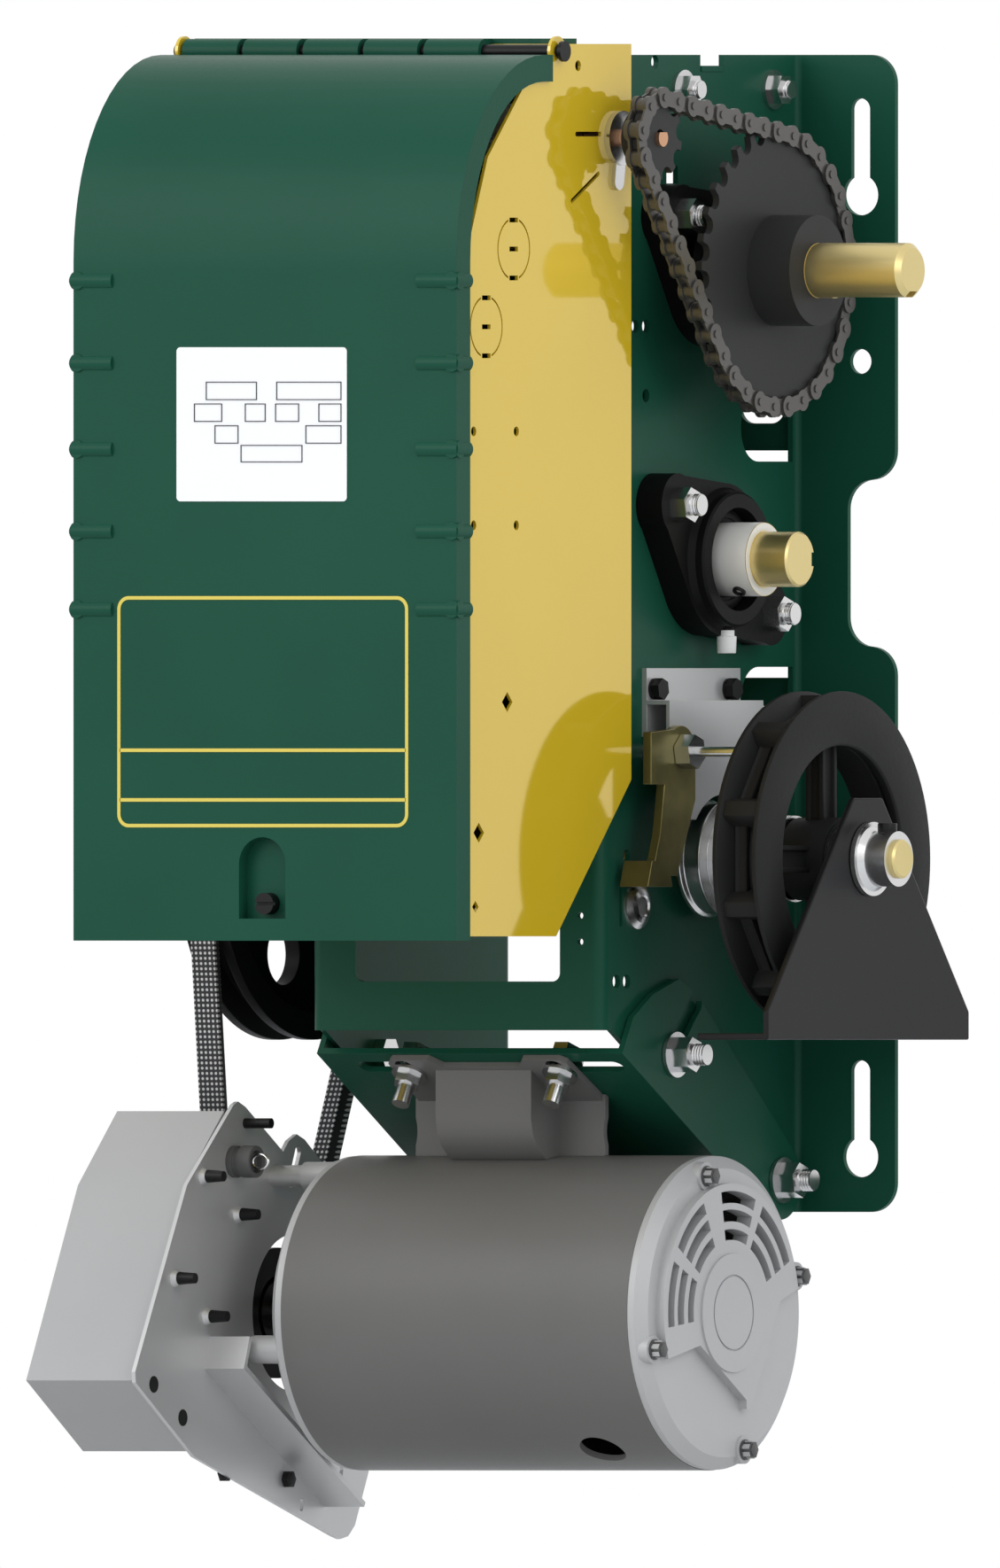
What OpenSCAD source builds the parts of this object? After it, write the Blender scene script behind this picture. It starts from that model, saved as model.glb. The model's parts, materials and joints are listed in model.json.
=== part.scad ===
// Jackshaft door operator: a wall frame with three shafts, a hinged control
// box, a belt-driven motor on a swinging plate, and a hand-chain hoist.
// X points right, Y towards the wall, Z up. The wall is the plane Y = 0.

/* [Frame] */
// Outer width of the frame channel
frame_w = 157; // [150:1:165]
// Depth of the frame channel from the wall
frame_d = 174; // [170:1:180]
// Thickness of the frame sheet
sheet_t = 2.7; // [2:0.1:3.2]
// Top of the frame above the frame's centre
frame_top = 285; // [275:1:295]
// Bottom of the rear flanges below the centre
frame_bottom = 246; // [243:1:255]
// Outer bend radius of the frame sheet
bend_r = 6; // [5:0.5:8]
// Reach of each rear flange from the centre plane
flange_x = 131.5; // [129:0.5:140]
// Sideways distance of the keyholes from the centre plane
keyhole_x = 113; // [110:0.5:116]
// Height of the keyhole entries above and below the centre
keyhole_z = 220.7; // [216:0.1:224]
// Diameter of the keyhole entries
keyhole_d = 18.7; // [16:0.1:20]
// Width of the keyhole slots
slot_w = 10; // [8:0.5:11]
// Height of the slot's end seat above the entry
slot_rise = 39.3; // [30:0.1:45]

/* [Shafts] */
// Diameter of the three main shafts
shaft_d = 25.4; // [22:0.1:28]
// Distance of the output shaft from the wall
out_y = 84; // [80:1:88]
// Height of the output shaft
out_z = 186; // [182:1:190]
// Distance of the middle shaft from the wall
mid_y = 88.5; // [85:0.5:92]
// Height of the middle shaft
mid_z = 53.5; // [50:0.5:57]
// Distance of the input shaft from the wall
in_y = 92; // [89:0.5:95]
// Height of the input shaft
in_z = -84; // [-87:0.5:-81]
// Reach of the output and input shafts to the right
shaft_x = 191; // [185:1:210]
// Reach of the middle shaft to the right
mid_x = 133.3; // [128:0.1:140]
// Running clearance of a shaft in its bore, on the radius
run = 0.05; // [0.02:0.01:0.1]
// Width of the shaft keys
key_w = 6.35; // [5:0.05:7]

/* [Chains] */
// Pitch of every roller chain
pitch = 12.7; // [12.7:0.01:12.71]
// Roller diameter of the chains
roller_d = 7.9; // [7:0.1:8]
// Teeth of the large limit sprocket
big_teeth = 31; // [31:1:31]
// Teeth of the small limit sprocket
small_teeth = 9; // [9:1:9]
// Distance of the limit chain's middle plane from the centre plane
limit_chain_x = 115.5; // [115:0.1:117]

/* [Control box] */
// Right face of the control box
box_right = 94.5; // [93:0.1:96]
// Left face of the control box
box_left = -107.6; // [-110:0.1:-105]
// Top of the control box
box_top = 290; // [288:0.5:292]
// Bottom of the control box
box_bottom = -119.5; // [-121:0.1:-118]
// Thickness of the box sheet
box_t = 1.6; // [1.2:0.1:2]
// Radius of the large knockouts
knock_r = 14.4; // [12:0.1:15]

/* [Cover] */
// Distance of the cover's front face from the wall
cover_front = 331; // [328:1:340]
// Depth of the cover's skirt behind its front face
cover_lip = 12.3; // [11.5:0.1:13]
// Bottom of the cover
cover_bottom = -121.5; // [-124:0.1:-121]
// Thickness of the cover sheet
cover_t = 1.5; // [1.2:0.1:1.8]
// Depth of the rounded cover top
cover_round_y = 77; // [74:1:77]
// Height of the rounded cover top
cover_round_z = 95; // [90:1:96]
// Radius of the raised ribs on the cover's edges
rib_r = 4; // [3:0.5:5]
// Length of each raised rib
rib_len = 21; // [18:1:24]

/* [Hoist] */
// Outer radius of the hand-chain wheel
wheel_r = 76.9; // [72:0.1:78]
// Left face of the hand-chain wheel
wheel_x0 = 134.8; // [134:0.1:136]
// Right face of the hand-chain wheel
wheel_x1 = 158.2; // [157:0.1:159]
// Outer face of the chain guide
guide_x = 172; // [170:0.5:176]
// Thickness of the chain guide's sheet
guide_t = 3; // [2.5:0.1:4]
// Reach of the chain guide's foot past the wheel, to each side
guide_margin = 11.6; // [11:0.1:14]

/* [Motor] */
// Radius of the motor's shell
motor_r = 72.3; // [70:0.1:73]
// Distance of the motor's axis from the wall
motor_y = 124; // [122:1:126]
// Height of the motor's axis
motor_z = -292.3; // [-295:0.1:-291]
// Left end of the motor's shell
shell_x0 = -80.6; // [-82:0.1:-78]
// Right end of the motor's shell
shell_x1 = 105.7; // [104:0.1:107]
// Angle of the motor plate below level, in degrees
plate_tilt = 30.5; // [30:0.1:31]
// Distance of the swing pivot from the wall
pivot_y = 22.9; // [21:0.1:25]
// Height of the swing pivot
pivot_z = -231.4; // [-233:0.1:-230]
// Distance of the locking bolt from the swing pivot
lock_r = 110.2; // [108:0.1:112]
// Angle that the plate can swing down, in degrees
swing = 15; // [10:1:16]

/* [Belt] */
// Middle plane of the V-belt
belt_x = -138; // [-139:0.1:-137]
// Width of the V-belt
belt_w = 12.7; // [12:0.1:13]
// Depth of the V-belt
belt_h = 8; // [7:0.1:9]
// Outer radius of the large pulley
pulley_r = 83; // [80:0.5:84]
// Outer radius of the motor pulley
motor_pulley_r = 30; // [26:0.5:32]

/* [Hidden] */
big = 900;
half_w = frame_w / 2;
side_x = half_w - sheet_t;
green = "seagreen";
dark = [0.13, 0.13, 0.13];
zinc = [0.80, 0.80, 0.80];
yellow = [0.86, 0.75, 0.36];
gold = [0.73, 0.65, 0.39];
cast = [0.78, 0.78, 0.78];
shaft_axes = [[-out_y, out_z], [-mid_y, mid_z], [-in_y, in_z]];
shaft_r = shaft_d / 2;
neck_r = shaft_r - 3.7;
// Bearing bolts sit on a diagonal that rises to the front
bolt_dy = 41;
bolt_dz = 25;
bolt_axes = [for (i = [0, 1], s = [-1, 1]) shaft_axes[i] + s * [-bolt_dy, bolt_dz]];
bend_cut_x = side_x + 12;
tab_drop = 5;
// Sizes that follow from the cover and the box
box_front = cover_front - 15;
cover_skirt = cover_front - cover_lip;
cover_round_at = [cover_round_y - cover_front, box_top - 100];
cover_back = 85 - cover_front;
hinge_at = [92.7 - cover_front, box_top - 3.4];
hinge_pin_r = 3.15;
hinge_ear_x = [-73, -8];
rib_z = [181.3, 143.5, 104, 66.3, 30.5];
latch_x = -8;
latch_z = cover_bottom + 17;
guide_w = 2 * (wheel_r + guide_margin);
corner_r = 13.4;
waist_depth = 25.5;
waist_z = [13.4, 90];
bearing_h = 14;
boss_x = half_w + 21.5;
ring_r = 16.85;
ring_x = half_w + 35.3;
pivot_at = [-pivot_y, pivot_z];
lock_at = pivot_at + lock_r * [-cos(31.5), sin(31.5)];
top_bolt_y = [-103.6, -24.3];
top_bolt_z = 269;
plug_r = 9.2;
bracket_z = 3.6;
bracket_y = [-138.6, -56.3];
bracket_screw_y = [-132.5, -67.4];
bracket_screw_z = -6;
motor_at = [-motor_y, motor_z];
limit_gaps = 19;
limit_span = 9 + round((frame_d - out_y - 90) / pitch);
limit_shaft_r = 4;
drive_teeth = [30, 10, 32, 10];
upper_chain_at = -8;
lower_chain_at = 34;
chain_h = 9.6;
lug_count = 10;
lever_at = [-136, -34.8];
lever_pin_r = 4.2;
lever_x0 = half_w + 15.4;
lever_x1 = half_w + 20;
rotor_shaft_r = 8;
// Front edge of the motor plate, and places along its slope
plate_front = [-160.4, -170.7];
foot_s = [12, 136];
foot_x = [-37.4, 43.6];
// Through-bolts of the motor
tie_angles = [15, 105, 195, 285];
tie_r = 65;
belt_plate_x = shell_x0 - 37.4;
clip_at = [[-79, 62.7], [-48.7, 45.2], [-104, 15.9], [-75.8, -1.6]];
guard_points = [[-57, 92.6], [-91.5, 58.6], [-137, -31], [-87, -63.5]];
plate_points = [[-52.5, 95.5], [-48.5, 97], [-42, 94.5], [-9, 74], [-4, 79], [3, 82], [10, 79.5], [24, 70],
    [38, 44], [68, 30], [70, -20], [66, -73], [54, -97.5], [48, -102.5], [41, -103.8], [35, -102.4], [-87, -66],
    [-138.5, -32], [-139, -27], [-93.5, 58.6]];

// Pitch radius of a sprocket
function pitch_r(teeth) = pitch / (2 * sin(180 / teeth));

// Distance between two sprockets whose chain has n links in each straight
// run and leaves them at angles a1 and a2 from the line of centres
function centre_gap(r1, a1, r2, a2, n) = r1 * cos(a1) - r2 * cos(a2)
    + sqrt(pow(n * pitch, 2) - pow(r1 * sin(a1) - r2 * sin(a2), 2));
wrap_big = limit_gaps * 180 / big_teeth;
wrap_small = 3 * 180 / small_teeth;
limit_c = centre_gap(pitch_r(big_teeth), 180 - wrap_big, pitch_r(small_teeth), wrap_small, limit_span);
limit_reach = frame_d + 11.7 - out_y;
limit_u = [-limit_reach, sqrt(limit_c * limit_c - limit_reach * limit_reach)] / limit_c;
limit_dir = atan2(limit_u[1], limit_u[0]);
limit_at = shaft_axes[0] + limit_c * limit_u;
limit_window = [[-68, limit_at[1] - 17.4], [68, limit_at[1] + 18.2]];
tab_hole = limit_at + [-1.8, -19.9];

// A cylinder along X from x0 to x1, centred at y, z
module bar_x(r, x0, x1, y = 0, z = 0) {
    translate([x0, y, z]) rotate([0, 90, 0]) cylinder(r = r, h = x1 - x0, $fn = 64);
}

// A cylinder along Y from y0 to y1, centred at x, z
module bar_y(r, y0, y1, x = 0, z = 0) {
    translate([x, y0, z]) rotate([-90, 0, 0]) cylinder(r = r, h = y1 - y0, $fn = 48);
}

// A cone along X from radius r0 at x0 to r1 at x1
module cone_x(r0, r1, x0, x1, y = 0, z = 0) {
    translate([x0, y, z]) rotate([0, 90, 0]) cylinder(r1 = r0, r2 = r1, h = x1 - x0, $fn = 64);
}

// A profile drawn in Y and Z, extruded along X
module along_x(x0, x1) {
    translate([x0, 0, 0]) rotate([90, 0, 90]) linear_extrude(x1 - x0) children();
}

// A profile drawn in X and Z, extruded along Y
module along_y(y0, y1) {
    translate([0, y1, 0]) rotate([90, 0, 0]) linear_extrude(y1 - y0) children();
}

// A block between two corners
module block(a, b) {
    translate(a) cube(b - a);
}

// A flat rectangle with round corners, between two corners
module round_rect(a, b, r) {
    translate([a[0] + r, a[1]]) square([b[0] - a[0] - 2 * r, b[1] - a[1]]);
    translate([a[0], a[1] + r]) square([b[0] - a[0], b[1] - a[1] - 2 * r]);
    for (x = [a[0] + r, b[0] - r], y = [a[1] + r, b[1] - r])
        translate([x, y]) circle(r, $fn = 32);
}

// A flat slot between two points
module slot2(a, b, w) {
    d = b - a;
    translate(a) circle(w / 2, $fn = 32);
    translate(b) circle(w / 2, $fn = 32);
    // A hair narrower than the round ends, so that each side meets them cleanly
    flat = w * 0.998;
    translate(a) rotate(atan2(d[1], d[0])) translate([0, -flat / 2]) square([norm(d), flat]);
}

// A hex head or nut along X
module hex_x(flats, x0, x1, y, z, turn = 0) {
    translate([x0, y, z]) rotate([0, 90, 0]) rotate(turn)
        cylinder(d = flats / cos(30), h = x1 - x0, $fn = 6);
}

// A rounded hex head or flange nut with its washer flange, facing right
module flange_nut(flats, x0, h, y, z) {
    bar_x(flats * 0.72, x0, x0 + 2, y, z);
    hex_x(flats, x0 + 2, x0 + h, y, z, 30);
}

// The channel's cross-section: front web, two sides and bent-out rear flanges
module channel_profile() {
    difference() {
        union() {
            round_rect([-half_w, -frame_d], [half_w, -frame_d + 40], bend_r);
            translate([-half_w, -frame_d + bend_r]) square([frame_w, frame_d - 2 * bend_r]);
        }
        round_rect([-side_x, -frame_d + sheet_t], [side_x, -frame_d + 40], bend_r - sheet_t);
        translate([-side_x, -frame_d + bend_r]) square([2 * side_x, frame_d]);
    }
    for (s = [-1, 1]) {
        x0 = s * (side_x + bend_r);
        intersection() {
            translate([x0, -bend_r]) difference() {
                circle(bend_r, $fn = 48);
                circle(bend_r - sheet_t, $fn = 48);
            }
            translate([s > 0 ? side_x : -side_x - bend_r, -bend_r]) square([bend_r, bend_r]);
        }
        translate([s > 0 ? x0 : -flange_x, -sheet_t]) square([flange_x - side_x - bend_r, sheet_t]);
    }
}

// Keyhole with its entry at z and its seat above it
module keyhole(x, z) {
    translate([x, z]) circle(d = keyhole_d, $fn = 48);
    slot2([x, z], [x, z + slot_rise], slot_w);
}

// One flange's cut-outs: keyholes, middle hole, waist and round corners
module flange_cuts(s) {
    for (z = [keyhole_z, -keyhole_z]) keyhole(s * keyhole_x, z);
    translate([s * keyhole_x, 144.3]) circle(d = 11.4, $fn = 32);
    waist_x = flange_x - waist_depth;
    scale_x(s) {
        round_rect([waist_x, waist_z[0]], [flange_x + 30, waist_z[1]], corner_r);
        // Round corners where the waist meets the flange's edge
        for (e = [0, 1]) {
            z = waist_z[e] + (2 * e - 1) * corner_r;
            difference() {
                translate([flange_x - corner_r, min(z, waist_z[e])]) square([corner_r + 1, corner_r]);
                translate([flange_x - corner_r, z]) circle(corner_r, $fn = 48);
            }
        }
    }
    for (e = [-1, 1]) {
        z = e > 0 ? frame_top : -frame_bottom;
        difference() {
            translate([s * flange_x, z]) square(2 * corner_r, center = true);
            translate([s * (flange_x - corner_r), z - e * corner_r]) circle(corner_r, $fn = 48);
        }
    }
}

// The sloped lower edge of the side plates, as the area that is cut off
module slope_cut() {
    z0 = -162.6;
    y0 = -165;
    run_y = (frame_bottom + z0) / tan(plate_tilt);
    polygon([[-frame_d - 5, -frame_bottom - 5], [-frame_d - 5, z0], [y0, z0],
        [y0 + run_y, -frame_bottom], [y0 + run_y, -frame_bottom - 5]]);
}

// Green welded channel that carries everything
module frame() {
    color(green) difference() {
        translate([0, 0, -frame_bottom]) linear_extrude(frame_top + frame_bottom) channel_profile();
        along_x(-big, big) slope_cut();
        // Openings at the rear bend of both sides
        along_x(-big, big) difference() {
            union() {
                round_rect([-51.5, 98.4], [30, 130], 15);
                round_rect([-51.5, -35], [30, 4.1], 15);
            }
            translate([-bend_r, -big]) square(2 * big);
        }
        // Window in the front web below the control box
        along_y(-frame_d - 5, -frame_d + 5) round_rect([-54, -140.2], [56, -30], 4);
        along_y(-frame_d - 5, -frame_d + 5) round_rect(limit_window[0], limit_window[1], 4);
        along_y(-frame_d - 5, -frame_d + 5) for (z = [-110, -122])
            translate([67, z]) circle(1.6, $fn = 16);
        // Wall fixings in the flanges
        along_y(-5, 1) for (s = [-1, 1]) flange_cuts(s);
        // Shaft openings in both sides
        for (p = shaft_axes) bar_x(shaft_d / 2 + 6, -half_w - 1, half_w + 1, p[0], p[1]);
        // Bolt holes of the bearings in both sides
        for (p = bolt_axes) bar_x(4.85, -half_w - 1, half_w + 1, p[0], p[1]);
        // Swing pivot and locking bolt of the motor plate
        for (p = [pivot_at, lock_at]) bar_x(4.9, -half_w - 1, half_w + 1, p[0], p[1]);
        // Top plate bolts
        for (y = top_bolt_y) bar_x(4.1, -half_w - 1, half_w + 1, y, top_bolt_z);
        bar_x(lever_pin_r + run, 0, half_w + 1, lever_at[0], lever_at[1]);
        // Small holes of the right side
        along_x(side_x - 1, half_w + 1) right_side_holes();
        // Tab slot at the top edge of the right side
        along_x(side_x - 1, half_w + 1) translate([-87.2, frame_top - tab_drop - sheet_t - 0.1])
                square([20.4, tab_drop + sheet_t + 1]);
    }
}

module right_side_holes() {
    translate([-117, 226]) square([10, 8]);
    translate([-127.2, 281.7]) circle(3.15, $fn = 24);
    for (p = [[-144.5, 160.5], [-135.3, 160.5], [-135, 128.6]])
        translate(p) circle(3.1, $fn = 24);
    for (y = [-161, -152]) translate([y, -140.2]) circle(3.2, $fn = 24);
    translate([-152, -82.5]) circle(3, $fn = 24);
    translate([-143.5, -105.6]) circle(plug_r, $fn = 48);
    slot2([-157, -114], [-157, -91], 2.4);
    for (y = bracket_screw_y) translate([y, bracket_screw_z]) circle(3.1, $fn = 24);
}

// Flat bars that tie the two rear flanges together
module frame_straps() {
    // The ends reach the bends' outer curve
    end_x = side_x + bend_r - sqrt(pow(bend_r, 2) - pow(bend_r - sheet_t, 2)) - 0.05;
    color(green) along_y(-sheet_t, 0) {
        translate([-end_x, -13.8]) square([2 * end_x, 13]);
        difference() {
            translate([-end_x, 103.4]) square([2 * end_x, 30]);
            for (s = [-1, 1]) scale_x(s) round_rect([48, 115.9], [72, 160], 7);
        }
    }
}

// Cross plate that closes the top of the channel, with turned-down ends
module top_plate() {
    w = side_x - 0.1;
    z0 = frame_top - tab_drop;
    color(green) difference() {
        union() {
            block([-w, -frame_d + 12, z0 - sheet_t], [w, -18, z0]);
            for (s = [0, 1]) block([s * (w - sheet_t) - (1 - s) * w, -frame_d + 30, top_bolt_z - 12],
                [s * w - (1 - s) * (w - sheet_t), -18, z0 - 1]);
            block([side_x - 1, -86.5, z0 - sheet_t], [half_w + 0.3, -67.5, z0]);
        }
        for (y = top_bolt_y) bar_x(4.1, -w - 1, w + 1, y, top_bolt_z);
    }
}

module top_plate_bolts() {
    color(zinc) for (y = top_bolt_y, s = [-1, 1]) scale_x(s) {
        hex_x(12.7, side_x - sheet_t - 5.2, side_x - sheet_t - 0.1, y, top_bolt_z, 30);
        bar_x(4, side_x - sheet_t - 1, half_w + 11, y, top_bolt_z);
        flange_nut(12.7, half_w, 7.5, y, top_bolt_z);
    }
}

// Mirrors its children to the left where s is -1
module scale_x(s) {
    if (s < 0) mirror([1, 0, 0]) children();
    else children();
}

// Dome plug in a spare hole of the right side
module blank_plug() {
    color(zinc) translate([half_w, -143.5, -105.6]) rotate([0, 90, 0]) difference() {
        union() {
            rotate_extrude($fn = 48) polygon([[0, 0], [plug_r + 1.6, 0], [plug_r + 1.4, 1.4],
                [plug_r - 1.5, 3.2], [5.2, 4.2], [4.4, 3.4], [0, 3.4]]);
            translate([0, 0, -sheet_t - 0.6]) cylinder(r = plug_r - 0.1, h = sheet_t + 1, $fn = 48);
        }
        translate([0, 0, -sheet_t - 1]) cylinder(r = plug_r - 1.2, h = sheet_t + 1, $fn = 48);
    }
}

// Cast two-bolt flange bearing for the right side, at y, z
module flange_bearing(y, z) {
    bolt_r = norm([bolt_dy, bolt_dz]);
    tilt = atan2(bolt_dz, -bolt_dy);
    difference() {
        union() {
            along_x(half_w, half_w + bearing_h) translate([y, z]) rotate(tilt) {
                circle(35, $fn = 64);
                for (s = [-1, 1]) translate([s * bolt_r, 0]) circle(14.5, $fn = 48);
                polygon([[-bolt_r - 2, 14.4], [-13, 32.5], [13, 32.5], [bolt_r + 2, 14.4],
                    [bolt_r + 2, -14.4], [13, -32.5], [-13, -32.5], [-bolt_r - 2, -14.4]]);
            }
            cone_x(33, 31, half_w + bearing_h, half_w + bearing_h + 3, y, z);
            bar_x(31, half_w + bearing_h + 3, boss_x - 1, y, z);
            cone_x(31, 30, boss_x - 1, boss_x, y, z);
            // Grease cap
            translate([half_w + 14.9, y, z - 35.5]) cylinder(r = 3.4, h = 6, $fn = 32);
            translate([half_w + 14.9, y, z - 42.9]) cylinder(r1 = 4.1, r2 = 4.4, h = 7.4, $fn = 32);
        }
        bar_x(23.75, half_w + 12, boss_x + 1, y, z);
        bar_x(ring_r + run, half_w - 1, half_w + 13, y, z);
        for (s = [-1, 1]) bar_x(5.2, half_w - 1, half_w + bearing_h + 1, y - s * bolt_dy, z + s * bolt_dz);
    }
}

module bearing_pair(i) {
    color(dark) for (s = [-1, 1]) scale_x(s) flange_bearing(shaft_axes[i][0], shaft_axes[i][1]);
}

module upper_bearings() { bearing_pair(0); }
module middle_bearings() { bearing_pair(1); }

// Flanged bushes of the input shaft, seated in the side plates
module lower_bearings() {
    y = shaft_axes[2][0];
    z = shaft_axes[2][1];
    color(gold) for (s = [-1, 1]) scale_x(s) difference() {
        union() {
            bar_x(shaft_r + 5.9, side_x - 1, half_w, y, z);
            bar_x(shaft_r + 13, side_x - 7, side_x, y, z);
        }
        bar_x(shaft_r + run, side_x - 8, half_w + 1, y, z);
    }
}

// Hex bolts and nuts of the four flange bearings
module bearing_bolts() {
    end_x = half_w + 27;
    color(zinc) for (p = bolt_axes, s = [-1, 1]) scale_x(s) {
        hex_x(14.3, side_x - 6, side_x, p[0], p[1], 30);
        bar_x(4.75, side_x - 1, end_x, p[0], p[1]);
        hex_x(14.3, half_w + bearing_h, half_w + bearing_h + 8, p[0], p[1], 12);
    }
}

// Shaft with chamfered ends and a keyway at its right end
module shaft_body(at, x0, x1, key_turn, key_len, cut = 1) {
    cone_x(shaft_r - 1, shaft_r, x0, x0 + 1, at[0], at[1]);
    difference() {
        union() {
            bar_x(shaft_r, x0 + 1, x1 - cut, at[0], at[1]);
            cone_x(shaft_r, shaft_r - cut, x1 - cut, x1, at[0], at[1]);
        }
        translate([x1 - key_len, at[0], at[1]]) rotate([key_turn, 0, 0])
            translate([0, -key_w / 2, shaft_r - key_w / 2]) cube([key_len + 1, key_w, key_w]);
    }
}

// Bearing inner rings, clamped to the shaft by a set screw each
module bearing_rings(at) {
    for (s = [-1, 1]) scale_x(s) difference() {
        bar_x(ring_r, half_w - 2, ring_x, at[0], at[1]);
        translate([ring_x - 5, at[0], at[1]]) rotate([50, 0, 0])
            cylinder(r = 2.6, h = ring_r + 1, $fn = 24);
    }
}

module output_shaft() {
    relief_x = limit_chain_x + 24.5;
    color(gold) {
        difference() {
            shaft_body(shaft_axes[0], -ring_x - 3, shaft_x, 180, 42, 2.4);
            // Shallow relief beside the limit wheel's hub
            difference() {
                bar_x(shaft_r + 1, relief_x, relief_x + 1.2, shaft_axes[0][0], shaft_axes[0][1]);
                bar_x(shaft_r - 0.3, relief_x - 1, relief_x + 3, shaft_axes[0][0], shaft_axes[0][1]);
            }
        }
        bearing_rings(shaft_axes[0]);
    }
}

module middle_shaft() {
    color(gold) {
        shaft_body(shaft_axes[1], -ring_x - 3, mid_x, -90, 16);
        bearing_rings(shaft_axes[1]);
    }
}

module input_shaft() {
    p = shaft_axes[2];
    color(gold) {
        cone_x(shaft_r - 1, shaft_r, belt_x - 16, belt_x - 15, p[0], p[1]);
        bar_x(shaft_r, belt_x - 15, guide_x + 0.2, p[0], p[1]);
        // Turned-down end that carries the clamp collar
        bar_x(neck_r, guide_x, shaft_x - 1, p[0], p[1]);
        cone_x(neck_r, neck_r - 1, shaft_x - 1, shaft_x, p[0], p[1]);
    }
}

// Sprocket tooth outline with a tooth gap at the angle a0
module sprocket_2d(teeth, a0) {
    r = pitch_r(teeth);
    seat = roller_d / 2 + (teeth < 12 ? 0.35 : 0.15);
    outer = r + (teeth < 12 ? 0.4 : 2.4);
    flare = teeth < 12 ? 2.9 : 1.4;
    difference() {
        circle(outer, $fn = 96);
        for (i = [0 : teeth - 1]) rotate(a0 + i * 360 / teeth) {
            translate([r, 0]) circle(seat, $fn = 24);
            polygon([[r, -seat], [r + 5, -seat - flare], [r + 5, seat + flare], [r, seat]]);
        }
    }
}

// Sprocket on a shaft at p, its teeth from x0 to x1 and its hub to xh
module sprocket(teeth, a0, p, x0, x1, xh, hub_r, bore) {
    difference() {
        union() {
            along_x(x0, x1) translate(p) sprocket_2d(teeth, a0);
            bar_x(hub_r, min(x0, xh), max(x1, xh), p[0], p[1]);
        }
        bar_x(bore, min(x0, xh) - 1, max(x1, xh) + 1, p[0], p[1]);
    }
}

module limit_wheel() {
    a0 = limit_dir + 180 - wrap_big;
    color([0.2, 0.2, 0.2]) difference() {
        sprocket(big_teeth, a0, shaft_axes[0], limit_chain_x - 1.7, limit_chain_x + 1.7,
            limit_chain_x + 24.5, 25.5, shaft_r);
        // Recess that clears the bearing's inner ring
        bar_x(ring_r + 0.4, limit_chain_x - 4, ring_x + 0.4, shaft_axes[0][0], shaft_axes[0][1]);
    }
}

module limit_sprocket() {
    a0 = limit_dir - wrap_small;
    color([0.2, 0.2, 0.2]) sprocket(small_teeth, a0, limit_at, limit_chain_x - 1.7,
        limit_chain_x + 1.7, limit_chain_x - 12, 12, limit_shaft_r);
}

// Pin centres of a chain loop round two sprockets
function loop_pins(c1, t1, n1, c2, t2, n2, span) =
    let (d = c2 - c1, a = atan2(d[1], d[0]), r1 = pitch_r(t1), r2 = pitch_r(t2),
        w1 = n1 * 180 / t1, w2 = n2 * 180 / t2,
        arc1 = [for (i = [0 : n1]) let (q = a + 180 - w1 + i * 360 / t1) c1 + r1 * [cos(q), sin(q)]],
        arc2 = [for (i = [0 : n2]) let (q = a - w2 + i * 360 / t2) c2 + r2 * [cos(q), sin(q)]])
    concat(arc1,
        [for (k = [1 : span - 1]) arc1[n1] + (arc2[0] - arc1[n1]) * k / span],
        arc2,
        [for (k = [1 : span - 1]) arc2[n2] + (arc1[0] - arc2[n2]) * k / span]);

// Flat outline of one link plate between two pins
module link_2d(a, b, r, hole) {
    d = b - a;
    difference() {
        union() {
            for (p = [a, b]) translate(p) circle(r, $fn = 24);
            translate(a) rotate(atan2(d[1], d[0])) translate([0, -r * 0.72]) square([norm(d), 2 * r * 0.72]);
        }
        for (p = [a, b]) translate(p) circle(hole, $fn = 24);
    }
}

// Roller chain through a list of pins, in the plane x
module roller_chain(pins, x) {
    n = len(pins);
    plate_r = 4.9;
    pin_r = 1.8;
    for (i = [0 : n - 1]) {
        a = pins[i];
        b = pins[(i + 1) % n];
        if (i % 2 == 0) {
            for (s = [-1, 1]) along_x(x + (s > 0 ? 1.95 : -3.05), x + (s > 0 ? 3.05 : -1.95))
                link_2d(a, b, plate_r, pin_r + 0.08);
            for (p = [a, b]) difference() {
                bar_x(roller_d / 2, x - 2, x + 2, p[0], p[1]);
                bar_x(pin_r + 0.08, x - 4, x + 4, p[0], p[1]);
            }
        } else {
            for (s = [-1, 1]) along_x(x + (s > 0 ? 3.1 : -4.2), x + (s > 0 ? 4.2 : -3.1))
                link_2d(a, b, plate_r, pin_r - 0.3);
            for (p = [a, b]) bar_x(pin_r, x - 4.8, x + 4.8, p[0], p[1]);
        }
    }
}

module limit_chain() {
    color([0.41, 0.4, 0.39]) roller_chain(loop_pins(shaft_axes[0], big_teeth, limit_gaps,
        limit_at, small_teeth, 3, limit_span), limit_chain_x);
}

// Plain drive chain: a band of the chain's outer size round two sprockets
module drive_band(c1, r1, c2, r2, x, w, h) {
    d = c2 - c1;
    c = norm(d);
    lean = asin((r1 - r2) / c);
    dir = atan2(d[1], d[0]);
    along_x(x - w / 2, x + w / 2) difference() {
        band_area(c1, r1 + h / 2, c2, r2 + h / 2, dir, lean);
        band_area(c1, r1 - h / 2, c2, r2 - h / 2, dir, lean);
    }
}

// Points on an arc round c from angle a0 to a1
function arc_points(c, r, a0, a1, n) =
    [for (i = [0 : n]) let (a = a0 + (a1 - a0) * i / n) c + r * [cos(a), sin(a)]];

// Area inside a loop of two circles and their outer tangents
module band_area(c1, r1, c2, r2, dir, lean) {
    polygon(concat(arc_points(c1, r1, dir + 90 - lean, dir + 270 + lean, 48),
        arc_points(c2, r2, dir - 90 + lean, dir + 90 - lean, 24)));
}

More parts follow.
